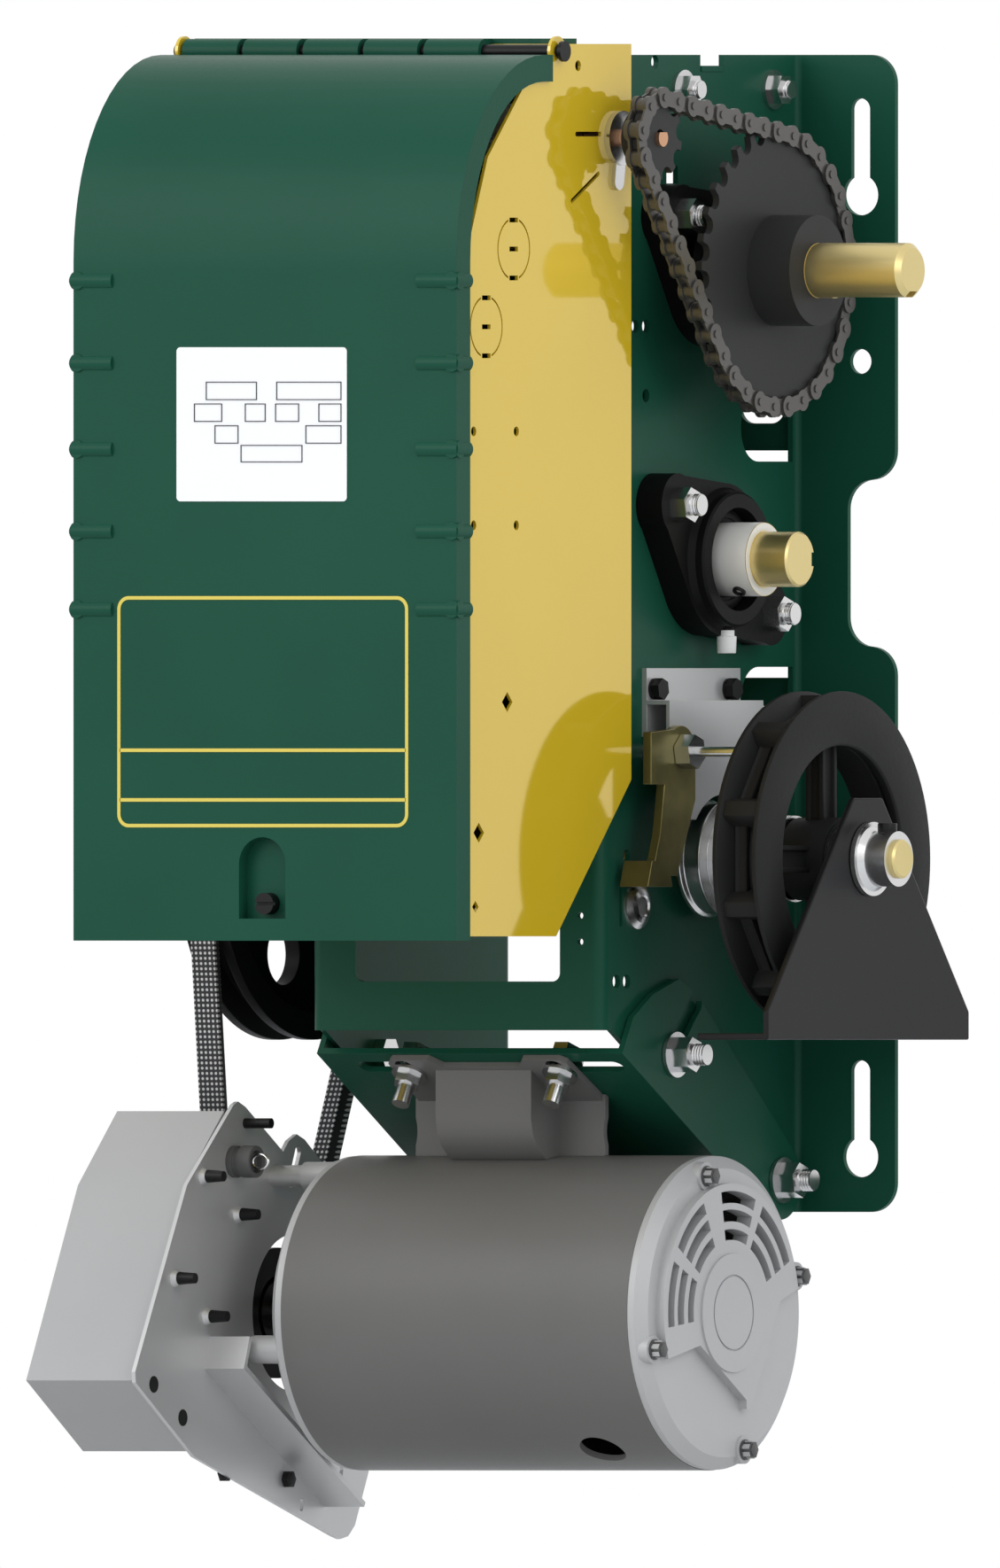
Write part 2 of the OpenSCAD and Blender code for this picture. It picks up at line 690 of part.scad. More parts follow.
// Plain toothed wheel of a covered drive, below its chain
module drive_wheel(teeth, p, x, xh, a0 = 0) {
    sprocket(teeth, a0, p, x - 3.4, x + 3.4, xh, teeth > 15 ? 28 : 14.9, shaft_r);
}

// Angle at which the chain from wheel 1 to wheel 2 leaves wheel 1
function chain_off(c1, t1, c2, t2) = let (d = c2 - c1)
    atan2(d[1], d[0]) + 90 - asin((pitch_r(t1) - pitch_r(t2)) / norm(d));

module output_sprockets() {
    color([0.3, 0.3, 0.3]) drive_wheel(drive_teeth[0], shaft_axes[0], upper_chain_at, upper_chain_at + 22,
        chain_off(shaft_axes[0], drive_teeth[0], shaft_axes[1], drive_teeth[1]));
}

module middle_sprockets() {
    color([0.3, 0.3, 0.3]) {
        drive_wheel(drive_teeth[1], shaft_axes[1], upper_chain_at, upper_chain_at - 20);
        drive_wheel(drive_teeth[2], shaft_axes[1], lower_chain_at, lower_chain_at + 20,
            chain_off(shaft_axes[1], drive_teeth[2], shaft_axes[2], drive_teeth[3]));
    }
}

module input_sprocket() {
    color([0.3, 0.3, 0.3]) drive_wheel(drive_teeth[3], shaft_axes[2], lower_chain_at, lower_chain_at - 20);
}

// Covered drive chains: roller rows between two side bands
module drive_chain(c1, t1, c2, t2, x) {
    for (s = [-1, 1]) drive_band(c1, pitch_r(t1), c2, pitch_r(t2), x + s * 5.2, 2.6, chain_h);
    a = chain_off(c1, t1, c2, t2);
    p = c1 + pitch_r(t1) * [cos(a), sin(a)];
    bar_x(1.9, x - 7.5, x + 7.5, p[0], p[1]);
}

module upper_drive_chain() {
    color([0.41, 0.4, 0.39]) drive_chain(shaft_axes[0], drive_teeth[0], shaft_axes[1],
        drive_teeth[1], upper_chain_at);
}

module lower_drive_chain() {
    color([0.41, 0.4, 0.39]) drive_chain(shaft_axes[1], drive_teeth[2], shaft_axes[2],
        drive_teeth[3], lower_chain_at);
}

// V-groove pulley on a shaft at p
module v_pulley(p, outer, hub_r, bore, hub_x0, hub_x1) {
    half = belt_w / 2;
    rim = half + 5.3;
    floor_r = outer - belt_h - 1.5;
    web = 4;
    translate([belt_x, p[0], p[1]]) rotate([0, 90, 0]) rotate_extrude($fn = 96) polygon([
        [outer, -rim], [outer, -half - 0.2], [floor_r, -half + 2.6], [floor_r, half - 2.6],
        [outer, half + 0.2], [outer, rim], [outer - 13, rim], [outer - 15, web],
        [hub_r, web], [hub_r, hub_x1 - belt_x], [bore, hub_x1 - belt_x], [bore, hub_x0 - belt_x],
        [hub_r, hub_x0 - belt_x], [hub_r, -web], [outer - 15, -web], [outer - 13, -rim]
    ]);
}

module large_pulley() {
    color([0.3, 0.3, 0.31]) difference() {
        v_pulley(shaft_axes[2], pulley_r, 24, shaft_r, belt_x - 12, belt_x + 30);
        for (i = [0 : 4]) translate([0, shaft_axes[2][0], shaft_axes[2][1]]) rotate([i * 72 + 18, 0, 0])
            bar_x(14, belt_x - 5, belt_x + 5, 0, 46);
    }
}

module motor_pulley() {
    color([0.3, 0.3, 0.31]) v_pulley(motor_at, motor_pulley_r, 14.8, 8, belt_x - 12, belt_x + 12);
}

// Points of a loop round two circles, in and out to a radius offset g
function loop_points(c1, r1, c2, r2, g) =
    let (d = c2 - c1, dir = atan2(d[1], d[0]), lean = asin((r1 - r2) / norm(d)))
    concat(arc_points(c1, r1 + g, dir + 90 - lean, dir + 270 + lean, 48),
        arc_points(c2, r2 + g, dir - 90 + lean, dir + 90 - lean, 24));

// Open V-belt round the two pulleys, swept as a trapezoid
module v_belt() {
    outer = loop_points(shaft_axes[2], pulley_r, motor_at, motor_pulley_r, 0);
    inner = loop_points(shaft_axes[2], pulley_r, motor_at, motor_pulley_r, -belt_h);
    n = len(outer);
    half = belt_w / 2;
    foot = half - 2.3;
    color([0.25, 0.25, 0.26]) polyhedron(
        points = [for (i = [0 : n - 1]) each [
            [belt_x - half, outer[i][0], outer[i][1]], [belt_x + half, outer[i][0], outer[i][1]],
            [belt_x + foot, inner[i][0], inner[i][1]], [belt_x - foot, inner[i][0], inner[i][1]]]],
        faces = [for (i = [0 : n - 1], k = [0 : 3]) let (j = (i + 1) % n, q = (k + 1) % 4)
            [4 * i + k, 4 * j + k, 4 * j + q, 4 * i + q]]);
}

// Control box: back panel, sloped foot, two side walls, top and bottom
module control_box() {
    back_y = -frame_d;
    lid_y = 84 - box_front;
    foot = [[back_y, box_bottom + 71.9], [76 - box_front, box_bottom]];
    foot_turn = atan2(foot[0][1] - foot[1][1], foot[0][0] - foot[1][0]);
    foot_n = [-sin(foot_turn), cos(foot_turn)];
    color(yellow) difference() {
        union() {
            // Side walls with a cut corner at the foot and a round hinge ear
            for (x = [box_left, box_right - box_t]) along_x(x, x + box_t) difference() {
                union() {
                    polygon([[back_y, foot[0][1]], foot[1], [-box_front, box_bottom],
                        [-box_front, box_top - 90], [16 - box_front, box_top - 52],
                        [54 - box_front, box_top - 13], [69 - box_front, box_top - 8.5],
                        [80 - box_front, box_top - 8.5], [lid_y, box_top], [back_y, box_top]]);
                    translate(hinge_at) circle(hinge_pin_r + 3.8, $fn = 48);
                }
            }
            // Tab that the cover's latch screw turns into
            block([latch_x - 14, 6 - box_front, box_bottom], [latch_x + 14, 8 - box_front, latch_z + 12]);
            block([box_left, back_y - box_t, foot[0][1]], [box_right, back_y, box_top]);
            block([box_left, lid_y, box_top - box_t], [box_right, back_y, box_top]);
            block([box_left, -box_front, box_bottom], [box_right, foot[1][0], box_bottom + box_t]);
            along_x(box_left, box_right) polygon([foot[0], foot[1], foot[1] + box_t * foot_n,
                foot[0] + box_t * foot_n]);
        }
        along_x(box_right - 3, box_right + 1) right_wall_cuts();
        bar_y(4.6, 4 - box_front, 10 - box_front, latch_x, latch_z);
        // Wiring windows in the back panel
        along_y(back_y - 5, back_y + 1) round_rect([-60, 45], [40, 90], 8);
        along_y(back_y - 5, back_y + 1) round_rect(limit_window[0], limit_window[1], 4);
        bar_x(hinge_pin_r + run, box_left - 1, box_right + 1, hinge_at[0], hinge_at[1]);
        bar_x(limit_shaft_r + 5.1, box_left - 1, box_right + 1, limit_at[0], limit_at[1]);
        // Wire knockout openings in the sloped foot
        for (x = [-55, 45]) translate([x, (foot[0][0] + foot[1][0]) / 2, (foot[0][1] + foot[1][1]) / 2])
            rotate([foot_turn, 0, 0]) cylinder(r = 11, h = 14, center = true, $fn = 48);
    }
}

module right_wall_cuts() {
    f = -box_front;
    // Half-sheared knockouts are shown by their slots and rings
    for (p = [[f + 38.7, 195.9], [f + 14.6, 160.2]]) translate(p) {
        difference() {
            circle(knock_r, $fn = 48);
            circle(knock_r - 0.9, $fn = 48);
            translate([-4.6, -knock_r - 1]) square([9.2, 2 * knock_r + 2]);
        }
        for (s = [-1, 1]) translate([-3.7, s * (knock_r - 1.1) - 1.1]) square([7.4, 2.2]);
        square([7.4, 2.2], center = true);
    }
    // Slots and holes beside the limit shaft
    slot2(limit_at + [-36.3, 1.8], limit_at + [-15.8, 1.8], 2.2);
    slot2(limit_at + [-40.3, -28.9], limit_at + [-17.3, -16.4], 2.2);
    translate([f + 95.2, box_top - 10]) circle(2.5, $fn = 24);
    translate(tab_hole) circle(3, $fn = 24);
    for (y = [f + 41, f + 3.5], z = [112.2, 69.1]) translate([y, z]) circle(2.25, $fn = 24);
    for (p = [[f + 33, -12], [f + 8, -72]]) translate(p) rotate(45) square(6.6, center = true);
    translate([f + 5, -106]) rotate(45) square(4, center = true);
}

// Green strip along the hinge, fixed to the box top
module hinge_strip() {
    color(green) difference() {
        union() {
            block([-105, hinge_at[0] + 6.3, box_top], [81, hinge_at[0] + 38.3, box_top + 2.5]);
            for (x = [-105, -40, 25]) bar_x(hinge_pin_r + 2.6, x + 0.5, x + 30, hinge_at[0], hinge_at[1]);
            for (x = [-105, -40, 25]) block([x + 0.5, hinge_at[0] + 0.3, box_top + 0.2], [x + 30, hinge_at[0] + 8.3, box_top + 2.2]);
        }
        bar_x(hinge_pin_r + run, -110, 90, hinge_at[0], hinge_at[1]);
    }
}

module hinge_pin() {
    color(dark) {
        bar_x(hinge_pin_r, box_left - 3, box_right + 2, hinge_at[0], hinge_at[1]);
        bar_x(hinge_pin_r + 1.6, box_right + 2.2, box_right + 4, hinge_at[0], hinge_at[1]);
    }
}

// Quarter ellipse of the cover's rounded top, set in by g
function cover_arc(g) = [for (a = [0 : 6 : 90]) cover_round_at
    + [-(cover_round_y - g) * cos(a), (cover_round_z - g) * sin(a)]];

// Green cover that swings up on the hinge pin
module cover() {
    left = box_left - 2;
    right = box_right + 2;
    top = cover_round_at[1] + cover_round_z;
    color(green) difference() {
        union() {
            difference() {
                along_x(left, right) polygon(concat([[cover_back, cover_bottom],
                    [-cover_front, cover_bottom]], cover_arc(0), [[cover_back, top]]));
                along_x(left + cover_t, right - cover_t) polygon(concat(
                    [[0, cover_bottom + cover_t], [cover_t - cover_front, cover_bottom + cover_t]],
                    cover_arc(cover_t), [[0, top - cover_t]]));
                // Everything behind the lip is open
                along_x(left - 1, right + 1) polygon(concat([[0, cover_bottom - 1],
                    [-cover_skirt, cover_bottom - 1]], cover_arc(cover_lip), [[0, top - cover_lip]]));
            }
            for (x = hinge_ear_x) cover_ear(x);
            for (z = rib_z, s = [-1, 1]) edge_rib(s > 0 ? right : left, s, z);
            along_y(0.5 - cover_front, 9 - cover_front) latch_shape(1.5);
        }
        for (x = hinge_ear_x) bar_x(hinge_pin_r + run, x - 1, x + 31, hinge_at[0], hinge_at[1]);
        along_y(-cover_front - 1, 7.5 - cover_front) latch_shape(0);
        bar_y(3.3, -cover_front, 12 - cover_front, latch_x, latch_z);
    }
}

// Hinge knuckle of the cover, from the cover's top to the pin
module cover_ear(x) {
    bar_x(hinge_pin_r + 2.6, x + 1, x + 30, hinge_at[0], hinge_at[1]);
    block([x + 1, cover_back - 2, hinge_at[1] - 3.1], [x + 30, hinge_at[0] - 1, hinge_at[1] - 1.6]);
}

// Raised half-round rib that wraps a vertical front edge
module edge_rib(x, s, z) {
    sunk = rib_r - 1.8;
    scale_x(s) {
        bar_x(rib_r, abs(x) - rib_len, abs(x) + 1, sunk - cover_front, z);
        bar_y(rib_r, -cover_front - 1, -cover_skirt - 0.3, abs(x) - sunk, z);
    }
}

// Outline of the pocket round the latch screw, grown by g
module latch_shape(g) {
    translate([latch_x - 12.5 - g, latch_z - 6.9 - g]) square([25 + 2 * g, 25 + g]);
    translate([latch_x, latch_z + 18]) circle(12.5 + g, $fn = 48);
}

// Blank plate on the cover's front
module cover_plate() {
    color("white") along_y(-cover_front - 0.8, -cover_front - 0.02)
        round_rect([-53.8, 80.1], [37.7, 150.8], 2);
}

// Slotted screw that locks the cover to the box
module latch_screw() {
    y0 = -cover_front + 1.4;
    color(dark) difference() {
        union() {
            bar_y(5, y0, y0 + 6, latch_x, latch_z);
            bar_y(3.2, y0 + 5.5, y0 + 24, latch_x, latch_z);
        }
        block([latch_x - 6, y0 - 1, latch_z - 0.8], [latch_x + 6, y0 + 1.8, latch_z + 0.8]);
    }
}

// Threaded limit shaft with a flat at its right end
module limit_shaft() {
    end_x = limit_chain_x + 3.5;
    color([0.72, 0.5, 0.38]) {
        difference() {
            bar_x(limit_shaft_r, box_left + 12, end_x, limit_at[0], limit_at[1]);
            block([end_x - 12, limit_at[0] - 9, limit_at[1] + limit_shaft_r - 1.4],
                [end_x + 1, limit_at[0] + 9, limit_at[1] + 9]);
        }
        bar_x(limit_shaft_r + 1.5, box_left + 22, box_right - 16, limit_at[0], limit_at[1]);
    }
}

// Flanged bushes of the limit shaft with a hooked tab that stops them turning
module limit_bushings() {
    y = limit_at[0];
    z = limit_at[1];
    color(zinc) {
        difference() {
            union() {
                bar_x(limit_shaft_r + 5, box_right - box_t - 4, box_right, y, z);
                bar_x(12.5, box_right + 0.02, box_right + 3, y, z);
                along_x(box_right + 0.02, box_right + 2) slot2([y, z - 8], tab_hole, 8);
                bar_x(2.8, box_right - 3, box_right + 2, tab_hole[0], tab_hole[1]);
            }
            bar_x(limit_shaft_r + run, box_right - 10, box_right + 5, y, z);
        }
        difference() {
            union() {
                block([box_left + 12, -frame_d - box_t - 30, z - 20], [box_left + 15, -frame_d - box_t, z + 14]);
                block([box_left + 12, -frame_d - box_t - 3, z - 34], [box_left + 26, -frame_d - box_t, z - 16]);
            }
            bar_x(limit_shaft_r + run, box_left, box_left + 20, y, z);
        }
    }
}

// Limit nut: a toothed disc on the thread that a slotted plate keeps from turning
module limit_nut(x) {
    color("white") translate([x, limit_at[0], limit_at[1]]) rotate([0, 90, 0]) difference() {
        cylinder(r = 16, h = 10, $fn = 64);
        translate([0, 0, -1]) cylinder(r = limit_shaft_r + 1.5 + run, h = 12, $fn = 48);
        for (i = [0 : 11]) rotate(i * 30) translate([17, 0, -1]) cylinder(r = 2.5, h = 12, $fn = 24);
    }
}

module open_limit_nut() { limit_nut(26); }
module close_limit_nut() { limit_nut(-46); }

// Sprung plate whose lip engages a notch of both limit nuts
module retaining_plate() {
    y = limit_at[0];
    z = limit_at[1];
    color(zinc) {
        block([box_left + 20, y - 30, z + 19], [box_right - 18, -frame_d - box_t, z + 20.6]);
        block([box_left + 30, y - 1, z + 15.6], [box_right - 28, y + 1, z + 19.2]);
    }
}

// Two small switches that the nuts reach at the ends of their travel
module limit_switches() {
    color(dark) for (x = [-80, 52]) {
        block([x, limit_at[0] - 12, limit_at[1] - 33], [x + 12, -frame_d - box_t, limit_at[1] - 19]);
        bar_x(1.6, x + 2, x + 10, limit_at[0] - 8, limit_at[1] - 18);
    }
}

// Control board on four standoffs
module circuit_board() {
    back = -frame_d - box_t;
    color("darkgreen") block([-85, back - 12, 95], [50, back - 10.4, 195]);
    color(zinc) for (x = [-78, 43], z = [102, 188]) bar_y(3, back - 10.4, back, x, z);
    color(dark) for (x = [-60, -35, -10, 15]) block([x, back - 26, 150], [x + 18, back - 12, 172]);
    color("seagreen") block([-75, back - 24, 100], [40, back - 12, 112]);
}

module transformer() {
    back = -frame_d - box_t;
    color([0.35, 0.35, 0.37]) {
        block([-92, back - 46, -30], [-32, back - 4, 28]);
        block([-92, back - 3.5, -42], [-32, back, 40]);
        block([-80, back - 4.2, -30], [-44, back - 3, 28]);
    }
    color(gold) block([-80, back - 56, -16], [-44, back - 45, 14]);
}

module contactors() {
    back = -frame_d - box_t;
    color(dark) for (x = [-20, 28]) {
        block([x, back - 50, -38], [x + 42, back, 20]);
        block([x + 6, back - 60, -24], [x + 36, back - 49, 8]);
    }
}

module terminal_strip() {
    back = -frame_d - box_t;
    color("ivory") difference() {
        block([58, back - 16, 60], [76, back, 190]);
        for (i = [0 : 9]) block([57, back - 17, 66 + i * 12], [77, back - 9, 74 + i * 12]);
    }
}

// Joggled bracket that carries the hoist lever
module interlock_bracket() {
    t = 2;
    step = 13;
    color(zinc) difference() {
        union() {
            block([half_w, bracket_y[0], -28], [half_w + 2.6, bracket_y[1], bracket_z]);
            block([half_w, bracket_y[0], bracket_z - 16.8], [half_w + step + t, bracket_y[1], bracket_z - 14.8]);
            block([half_w + step, bracket_y[0], -66], [half_w + step + t, bracket_y[1], bracket_z - 14.8]);
        }
        for (y = bracket_screw_y) bar_x(3.2, half_w - 1, half_w + 5, y, bracket_screw_z);
        bar_x(lever_pin_r + run, half_w, half_w + 20, lever_at[0], lever_at[1]);
        // Clearance round the clutch drum
        bar_x(29.5, half_w + 5, half_w + 20, shaft_axes[2][0], shaft_axes[2][1]);
    }
}

module interlock_screws() {
    color(dark) for (y = bracket_screw_y) {
        bar_x(3, side_x - 5, half_w + 4, y, bracket_screw_z);
        bar_x(4.9, half_w + 2.62, half_w + 3.8, y, bracket_screw_z);
        hex_x(8.8, half_w + 3.8, half_w + 8, y, bracket_screw_z, 10);
    }
}

// Bolt that the hoist lever turns on, drawn out to a rod at its right end
module lever_bolt() {
    color([0.6, 0.58, 0.5]) {
        hex_x(14, side_x - 5.2, side_x, lever_at[0], lever_at[1], 30);
        bar_x(lever_pin_r, side_x - 1, lever_x1 + 1, lever_at[0], lever_at[1]);
        hex_x(14, lever_x1 + 0.3, lever_x1 + 8, lever_at[0], lever_at[1], 12);
        bar_x(2.35, lever_x1 + 7, wheel_x0 - 4, lever_at[0], lever_at[1]);
    }
}

// Cranked steel lever that shifts the clutch
module hoist_lever() {
    color([0.45, 0.42, 0.24]) difference() {
        union() {
            along_x(lever_x0, lever_x1) {
                translate(lever_at) circle(12, $fn = 48);
                polygon([for (q = [[-27, 9], [4, 11], [12, 0], [12, -22], [-4, -57], [-26, -57],
                    [-19, -38], [-15, -15], [-27, -15]]) lever_at + q]);
            }
            // Hook bent towards the frame, clear of the blank plug's cap
            along_x(half_w + 4.6, lever_x1) polygon([for (q = [[-30, -62], [-26, -50], [-12, -50],
                [-8, -62]]) lever_at + q]);
        }
        bar_x(lever_pin_r + run, lever_x0 - 1, lever_x1 + 1, lever_at[0], lever_at[1]);
    }
}

// Turned clutch drum beside the frame
module clutch_drum() {
    p = shaft_axes[2];
    color(zinc) translate([0, p[0], p[1]]) rotate([0, 90, 0]) rotate_extrude($fn = 96) polygon([
        [shaft_r, half_w + 3], [17, half_w + 3], [17, half_w + 6.2], [27, half_w + 6.2],
        [27, half_w + 8], [25.4, half_w + 9.5], [25.4, half_w + 16], [27, half_w + 17.5],
        [27, half_w + 18.5], [20, half_w + 18.5], [20, wheel_x0 - 2], [shaft_r, wheel_x0 - 2]
    ]);
}

// Flanged bush on which the chain wheel turns
module guide_bush() {
    p = shaft_axes[2];
    color(zinc) difference() {
        union() {
            bar_x(shaft_r + 2.6, wheel_x0 - 1, wheel_x1 + 5, p[0], p[1]);
            bar_x(shaft_r + 5.2, wheel_x1 + 5, guide_x - guide_t - 0.4, p[0], p[1]);
        }
        bar_x(shaft_r, 0, 300, p[0], p[1]);
    }
}

// Flanged clamp collar that keeps the chain guide on the shaft
module guide_collar() {
    p = shaft_axes[2];
    x0 = guide_x + 0.4;
    x1 = shaft_x - 2.8;
    color(zinc) difference() {
        union() {
            bar_x(17, x0, x0 + 2.4, p[0], p[1]);
            cone_x(15, shaft_r, x0 + 2.4, x0 + 5, p[0], p[1]);
            bar_x(shaft_r, x0 + 5, x1, p[0], p[1]);
            // Head of the clamp screw
            translate([x1 - 6.3, p[0], p[1]]) cylinder(r = 4.2, h = shaft_r + 3.4, $fn = 32);
        }
        bar_x(neck_r, 0, 300, p[0], p[1]);
    }
}

// Pocket wheel for the hand chain
module hand_wheel() {
    p = shaft_axes[2];
    w = (wheel_x1 - wheel_x0) / 2;
    mid = (wheel_x0 + wheel_x1) / 2;
    groove = 13;
    rim_in = 54;
    hub_r = 18.5;
    color(dark) translate([mid, p[0], p[1]]) rotate([0, 90, 0]) difference() {
        union() {
            rotate_extrude($fn = 96) polygon([
                [rim_in, -w], [wheel_r, -w], [wheel_r, -w + 3.4], [wheel_r - groove, -4.4],
                [wheel_r - groove, 4.4], [wheel_r, w - 3.4], [wheel_r, w], [rim_in, w]]);
            for (i = [0 : lug_count - 1]) rotate(i * 360 / lug_count + 9)
                translate([wheel_r - groove - 2, -6, -w + 2.5]) cube([groove - 2, 12, 2 * w - 5]);
            for (i = [0 : 3]) rotate(i * 90)
                translate([hub_r - 2, -5.5, -3]) cube([rim_in - hub_r + 4, 11, 8]);
            cylinder(r = hub_r, h = 2 * w, center = true, $fn = 64);
        }
        cylinder(r = shaft_r + 2.6 + run, h = 3 * w, center = true, $fn = 64);
    }
}

// Hanging plate that keeps the hand chain on its wheel
module chain_guide() {
    p = shaft_axes[2];
    top = p[1] + 28;
    foot = p[1] - wheel_r - 6.1;
    reach = guide_x - wheel_x0 + 1.4;
    color(dark) difference() {
        union() {
            along_x(guide_x - guide_t, guide_x) polygon([
                [p[0] - guide_w / 2, foot], [p[0] - guide_w / 2, foot + 13],
                [p[0] - 12.5, top], [p[0] + 12.5, top],
                [p[0] + guide_w / 2, foot + 13], [p[0] + guide_w / 2, foot]]);
            block([guide_x - reach, p[0] - guide_w / 2, foot], [guide_x, p[0] + guide_w / 2, foot + guide_t]);
        }
        bar_x(shaft_r + run, guide_x - 10, guide_x + 10, p[0], p[1]);
        for (s = [-1, 1]) translate([(wheel_x0 + wheel_x1) / 2, p[0] + s * (wheel_r - 3), foot - 1])
            linear_extrude(guide_t + 2) slot2([0, -4], [0, 4], 18);
    }
}

// Places a profile's points relative to the motor's axis
module at_motor() {
    translate(motor_at) children();
}

// Swinging plate with two side flanges; the motor hangs below it
module motor_plate() {
    x_out = half_w + 0.8;
    t = 3;
    c = [cos(plate_tilt), -sin(plate_tilt)];
    n = [sin(plate_tilt), cos(plate_tilt)];
    front = plate_front;
    length = 158;
    ear_r = 18.2;
    color(green) difference() {
        union() {
            along_x(-x_out - t, x_out + t) polygon([front, front + length * c,
                front + length * c - t * n, front - t * n]);
            for (x = [-x_out - t, x_out]) along_x(x, x + t) difference() {
                union() {
                    polygon([front, front + [8, 14], [-135, -146], [-112, -139], [-96, -146],
                        pivot_at + ear_r * n, pivot_at, front + 140 * c - t * n, front - t * n]);
                    translate(pivot_at) circle(ear_r, $fn = 64);
                }
                // Arc slot that the locking bolt runs in
                for (a = [0 : 1 : swing + 1]) translate(pivot_at) rotate(-a)
                    translate(lock_at - pivot_at) circle(5.2, $fn = 24);
            }
        }
        bar_x(4.8, -x_out - t - 1, x_out + t + 1, pivot_at[0], pivot_at[1]);
        // Slots for the motor's foot bolts
        at_slope() for (s = foot_s) translate([0, 0, -t - 1]) linear_extrude(t + 2) {
            slot2([-61, s], [foot_x[0], s], 9);
            slot2([foot_x[1], s], [72, s], 9);
        }
    }
}

// Places its children on the motor plate: Y runs down its slope, Z stands on it
module at_slope() {
    translate([0, plate_front[0], plate_front[1]]) rotate([-plate_tilt, 0, 0]) children();
}

// Bolts on which the motor plate swings
module pivot_bolts() {
    swing_bolts(pivot_at);
}

// Bolts that lock the motor plate in its slots
module lock_bolts() {
    swing_bolts(lock_at);
}

module swing_bolts(p) {
    color(zinc) for (s = [-1, 1]) scale_x(s) {
        hex_x(14.3, side_x - 6, side_x - 0.02, p[0], p[1], 30);
        bar_x(4.75, side_x - 1, half_w + 22, p[0], p[1]);
        bar_x(10.5, half_w + 4.1, half_w + 6, p[0], p[1]);
        hex_x(14.3, half_w + 6, half_w + 15, p[0], p[1], 12);
    }
}

// Stamped motor base: foot plate, two side cheeks and a saddle
module motor_base() {
    t = 3;
    top = -3.06;
    mid = (foot_x[0] + foot_x[1]) / 2;
    // Half widths of the feet, the pedestal and its wings
    foot_half = 48;
    web_half = 25.7;
    wing_half = 51;
    color([0.39, 0.39, 0.38]) difference() {
        union() {
            at_slope() {
                // Foot plate, drawn in between the feet
                translate([mid, 0, top - t]) linear_extrude(t) for (s = [-1, 1])
                    polygon([for (q = [[0, 7.5], [20.5, 7.5], [25.5, 1], [foot_half - 3, 1], [foot_half, 4],
                        [foot_half + 1.5, 41], [foot_half - 6, 47], [web_half - 2, 52], [web_half - 2, 104],
                        [foot_half, 118], [foot_half, 147], [foot_half - 3, 150], [0, 150]]) [s * q[0], q[1]]]);
                // Rear panel and wings
                block([mid - web_half, 139, -33], [mid + web_half, 142, top - 1]);
                for (s = [0, 1]) block([mid + s * web_half - (1 - s) * foot_half, 120, -21],
                    [mid + s * foot_half - (1 - s) * web_half, 123, top - 1]);
                for (s = [0, 1]) block([mid + s * (web_half - t) - (1 - s) * web_half, 120, -33],
                    [mid + s * web_half - (1 - s) * (web_half - t), 142, top - 1]);
            }
            // Front panel, upright and curled in at its foot
            along_x(mid - web_half, mid + web_half) polygon([[-154.9, -177.6], [-154.9, -203], [-153.4, -210],
                [-149.5, -216], [-143, -221], [-134, -226], [-134, -221.5], [-141.4, -217.9], [-147.2, -213.8],
                [-150.6, -208.8], [-151.9, -202.5], [-151.9, -178.4]]);
            // Sides of the pedestal and the wings behind the front feet
            for (s = [0, 1]) {
                along_x(mid + s * (web_half - t) - (1 - s) * web_half,
                    mid + s * web_half - (1 - s) * (web_half - t)) polygon([[-154.9, -177.6], [-154.9, -203],
                    [-153.4, -210], [-149.5, -216], [-143, -221], [-128, -226], [-128, -195], [-152, -179.5]]);
                translate([mid, 0, 0]) scale_x(2 * s - 1) along_y(-131, -128) wing_shape(web_half - t, wing_half);
            }
        }
        bar_x(motor_r + 0.05, -100, 100, motor_at[0], motor_at[1]);
        // Nothing stands above the foot plate
        at_slope() translate([-big / 2, -30, top]) cube([big, 200, 40]);
        // Slots of the feet
        at_slope() for (s = foot_s, x = foot_x) translate([0, 0, -9]) linear_extrude(9)
            slot2([x, s - (s < 50 ? 6 : 0)], [x, s + (s < 50 ? 0 : 6)], 8.8);
    }
}

// Wing from x0 to x1, drawn in at its waist, below the sloped foot plate
module wing_shape(x0, x1) {
    difference() {
        translate([x0, -224]) square([x1 - x0, 32]);
        translate([x1 + 21.6, -209]) circle(22.5, $fn = 96);
    }
}

// Bolts that hold the base to the swinging plate
module motor_bolts() {
    color(zinc) at_slope() for (s = foot_s, x = foot_x) translate([x, s, 0]) {
        translate([0, 0, -23]) cylinder(r = 4, h = 27, $fn = 32);
        translate([0, 0, 0.05]) cylinder(r = 9, h = 1.6, $fn = 32);
        translate([0, 0, 1.6]) cylinder(d = 14.6, h = 5, $fn = 6);
        translate([0, 0, -7.9]) cylinder(r = 8.3, h = 1.8, $fn = 32);
        translate([0, 0, -13]) cylinder(d = 12.7, h = 6, $fn = 6);
    }
}

// Rolled steel motor shell with its conduit hole
module motor_shell() {
    color([0.39, 0.39, 0.38]) difference() {
        bar_x(motor_r, shell_x0, shell_x1, motor_at[0], motor_at[1]);
        bar_x(motor_r - 3, shell_x0 - 1, shell_x1 + 1, motor_at[0], motor_at[1]);
        translate([70, motor_at[0], motor_at[1]]) rotate([180 - 29, 0, 0]) cylinder(r = 11, h = 100, $fn = 48);
    }
}

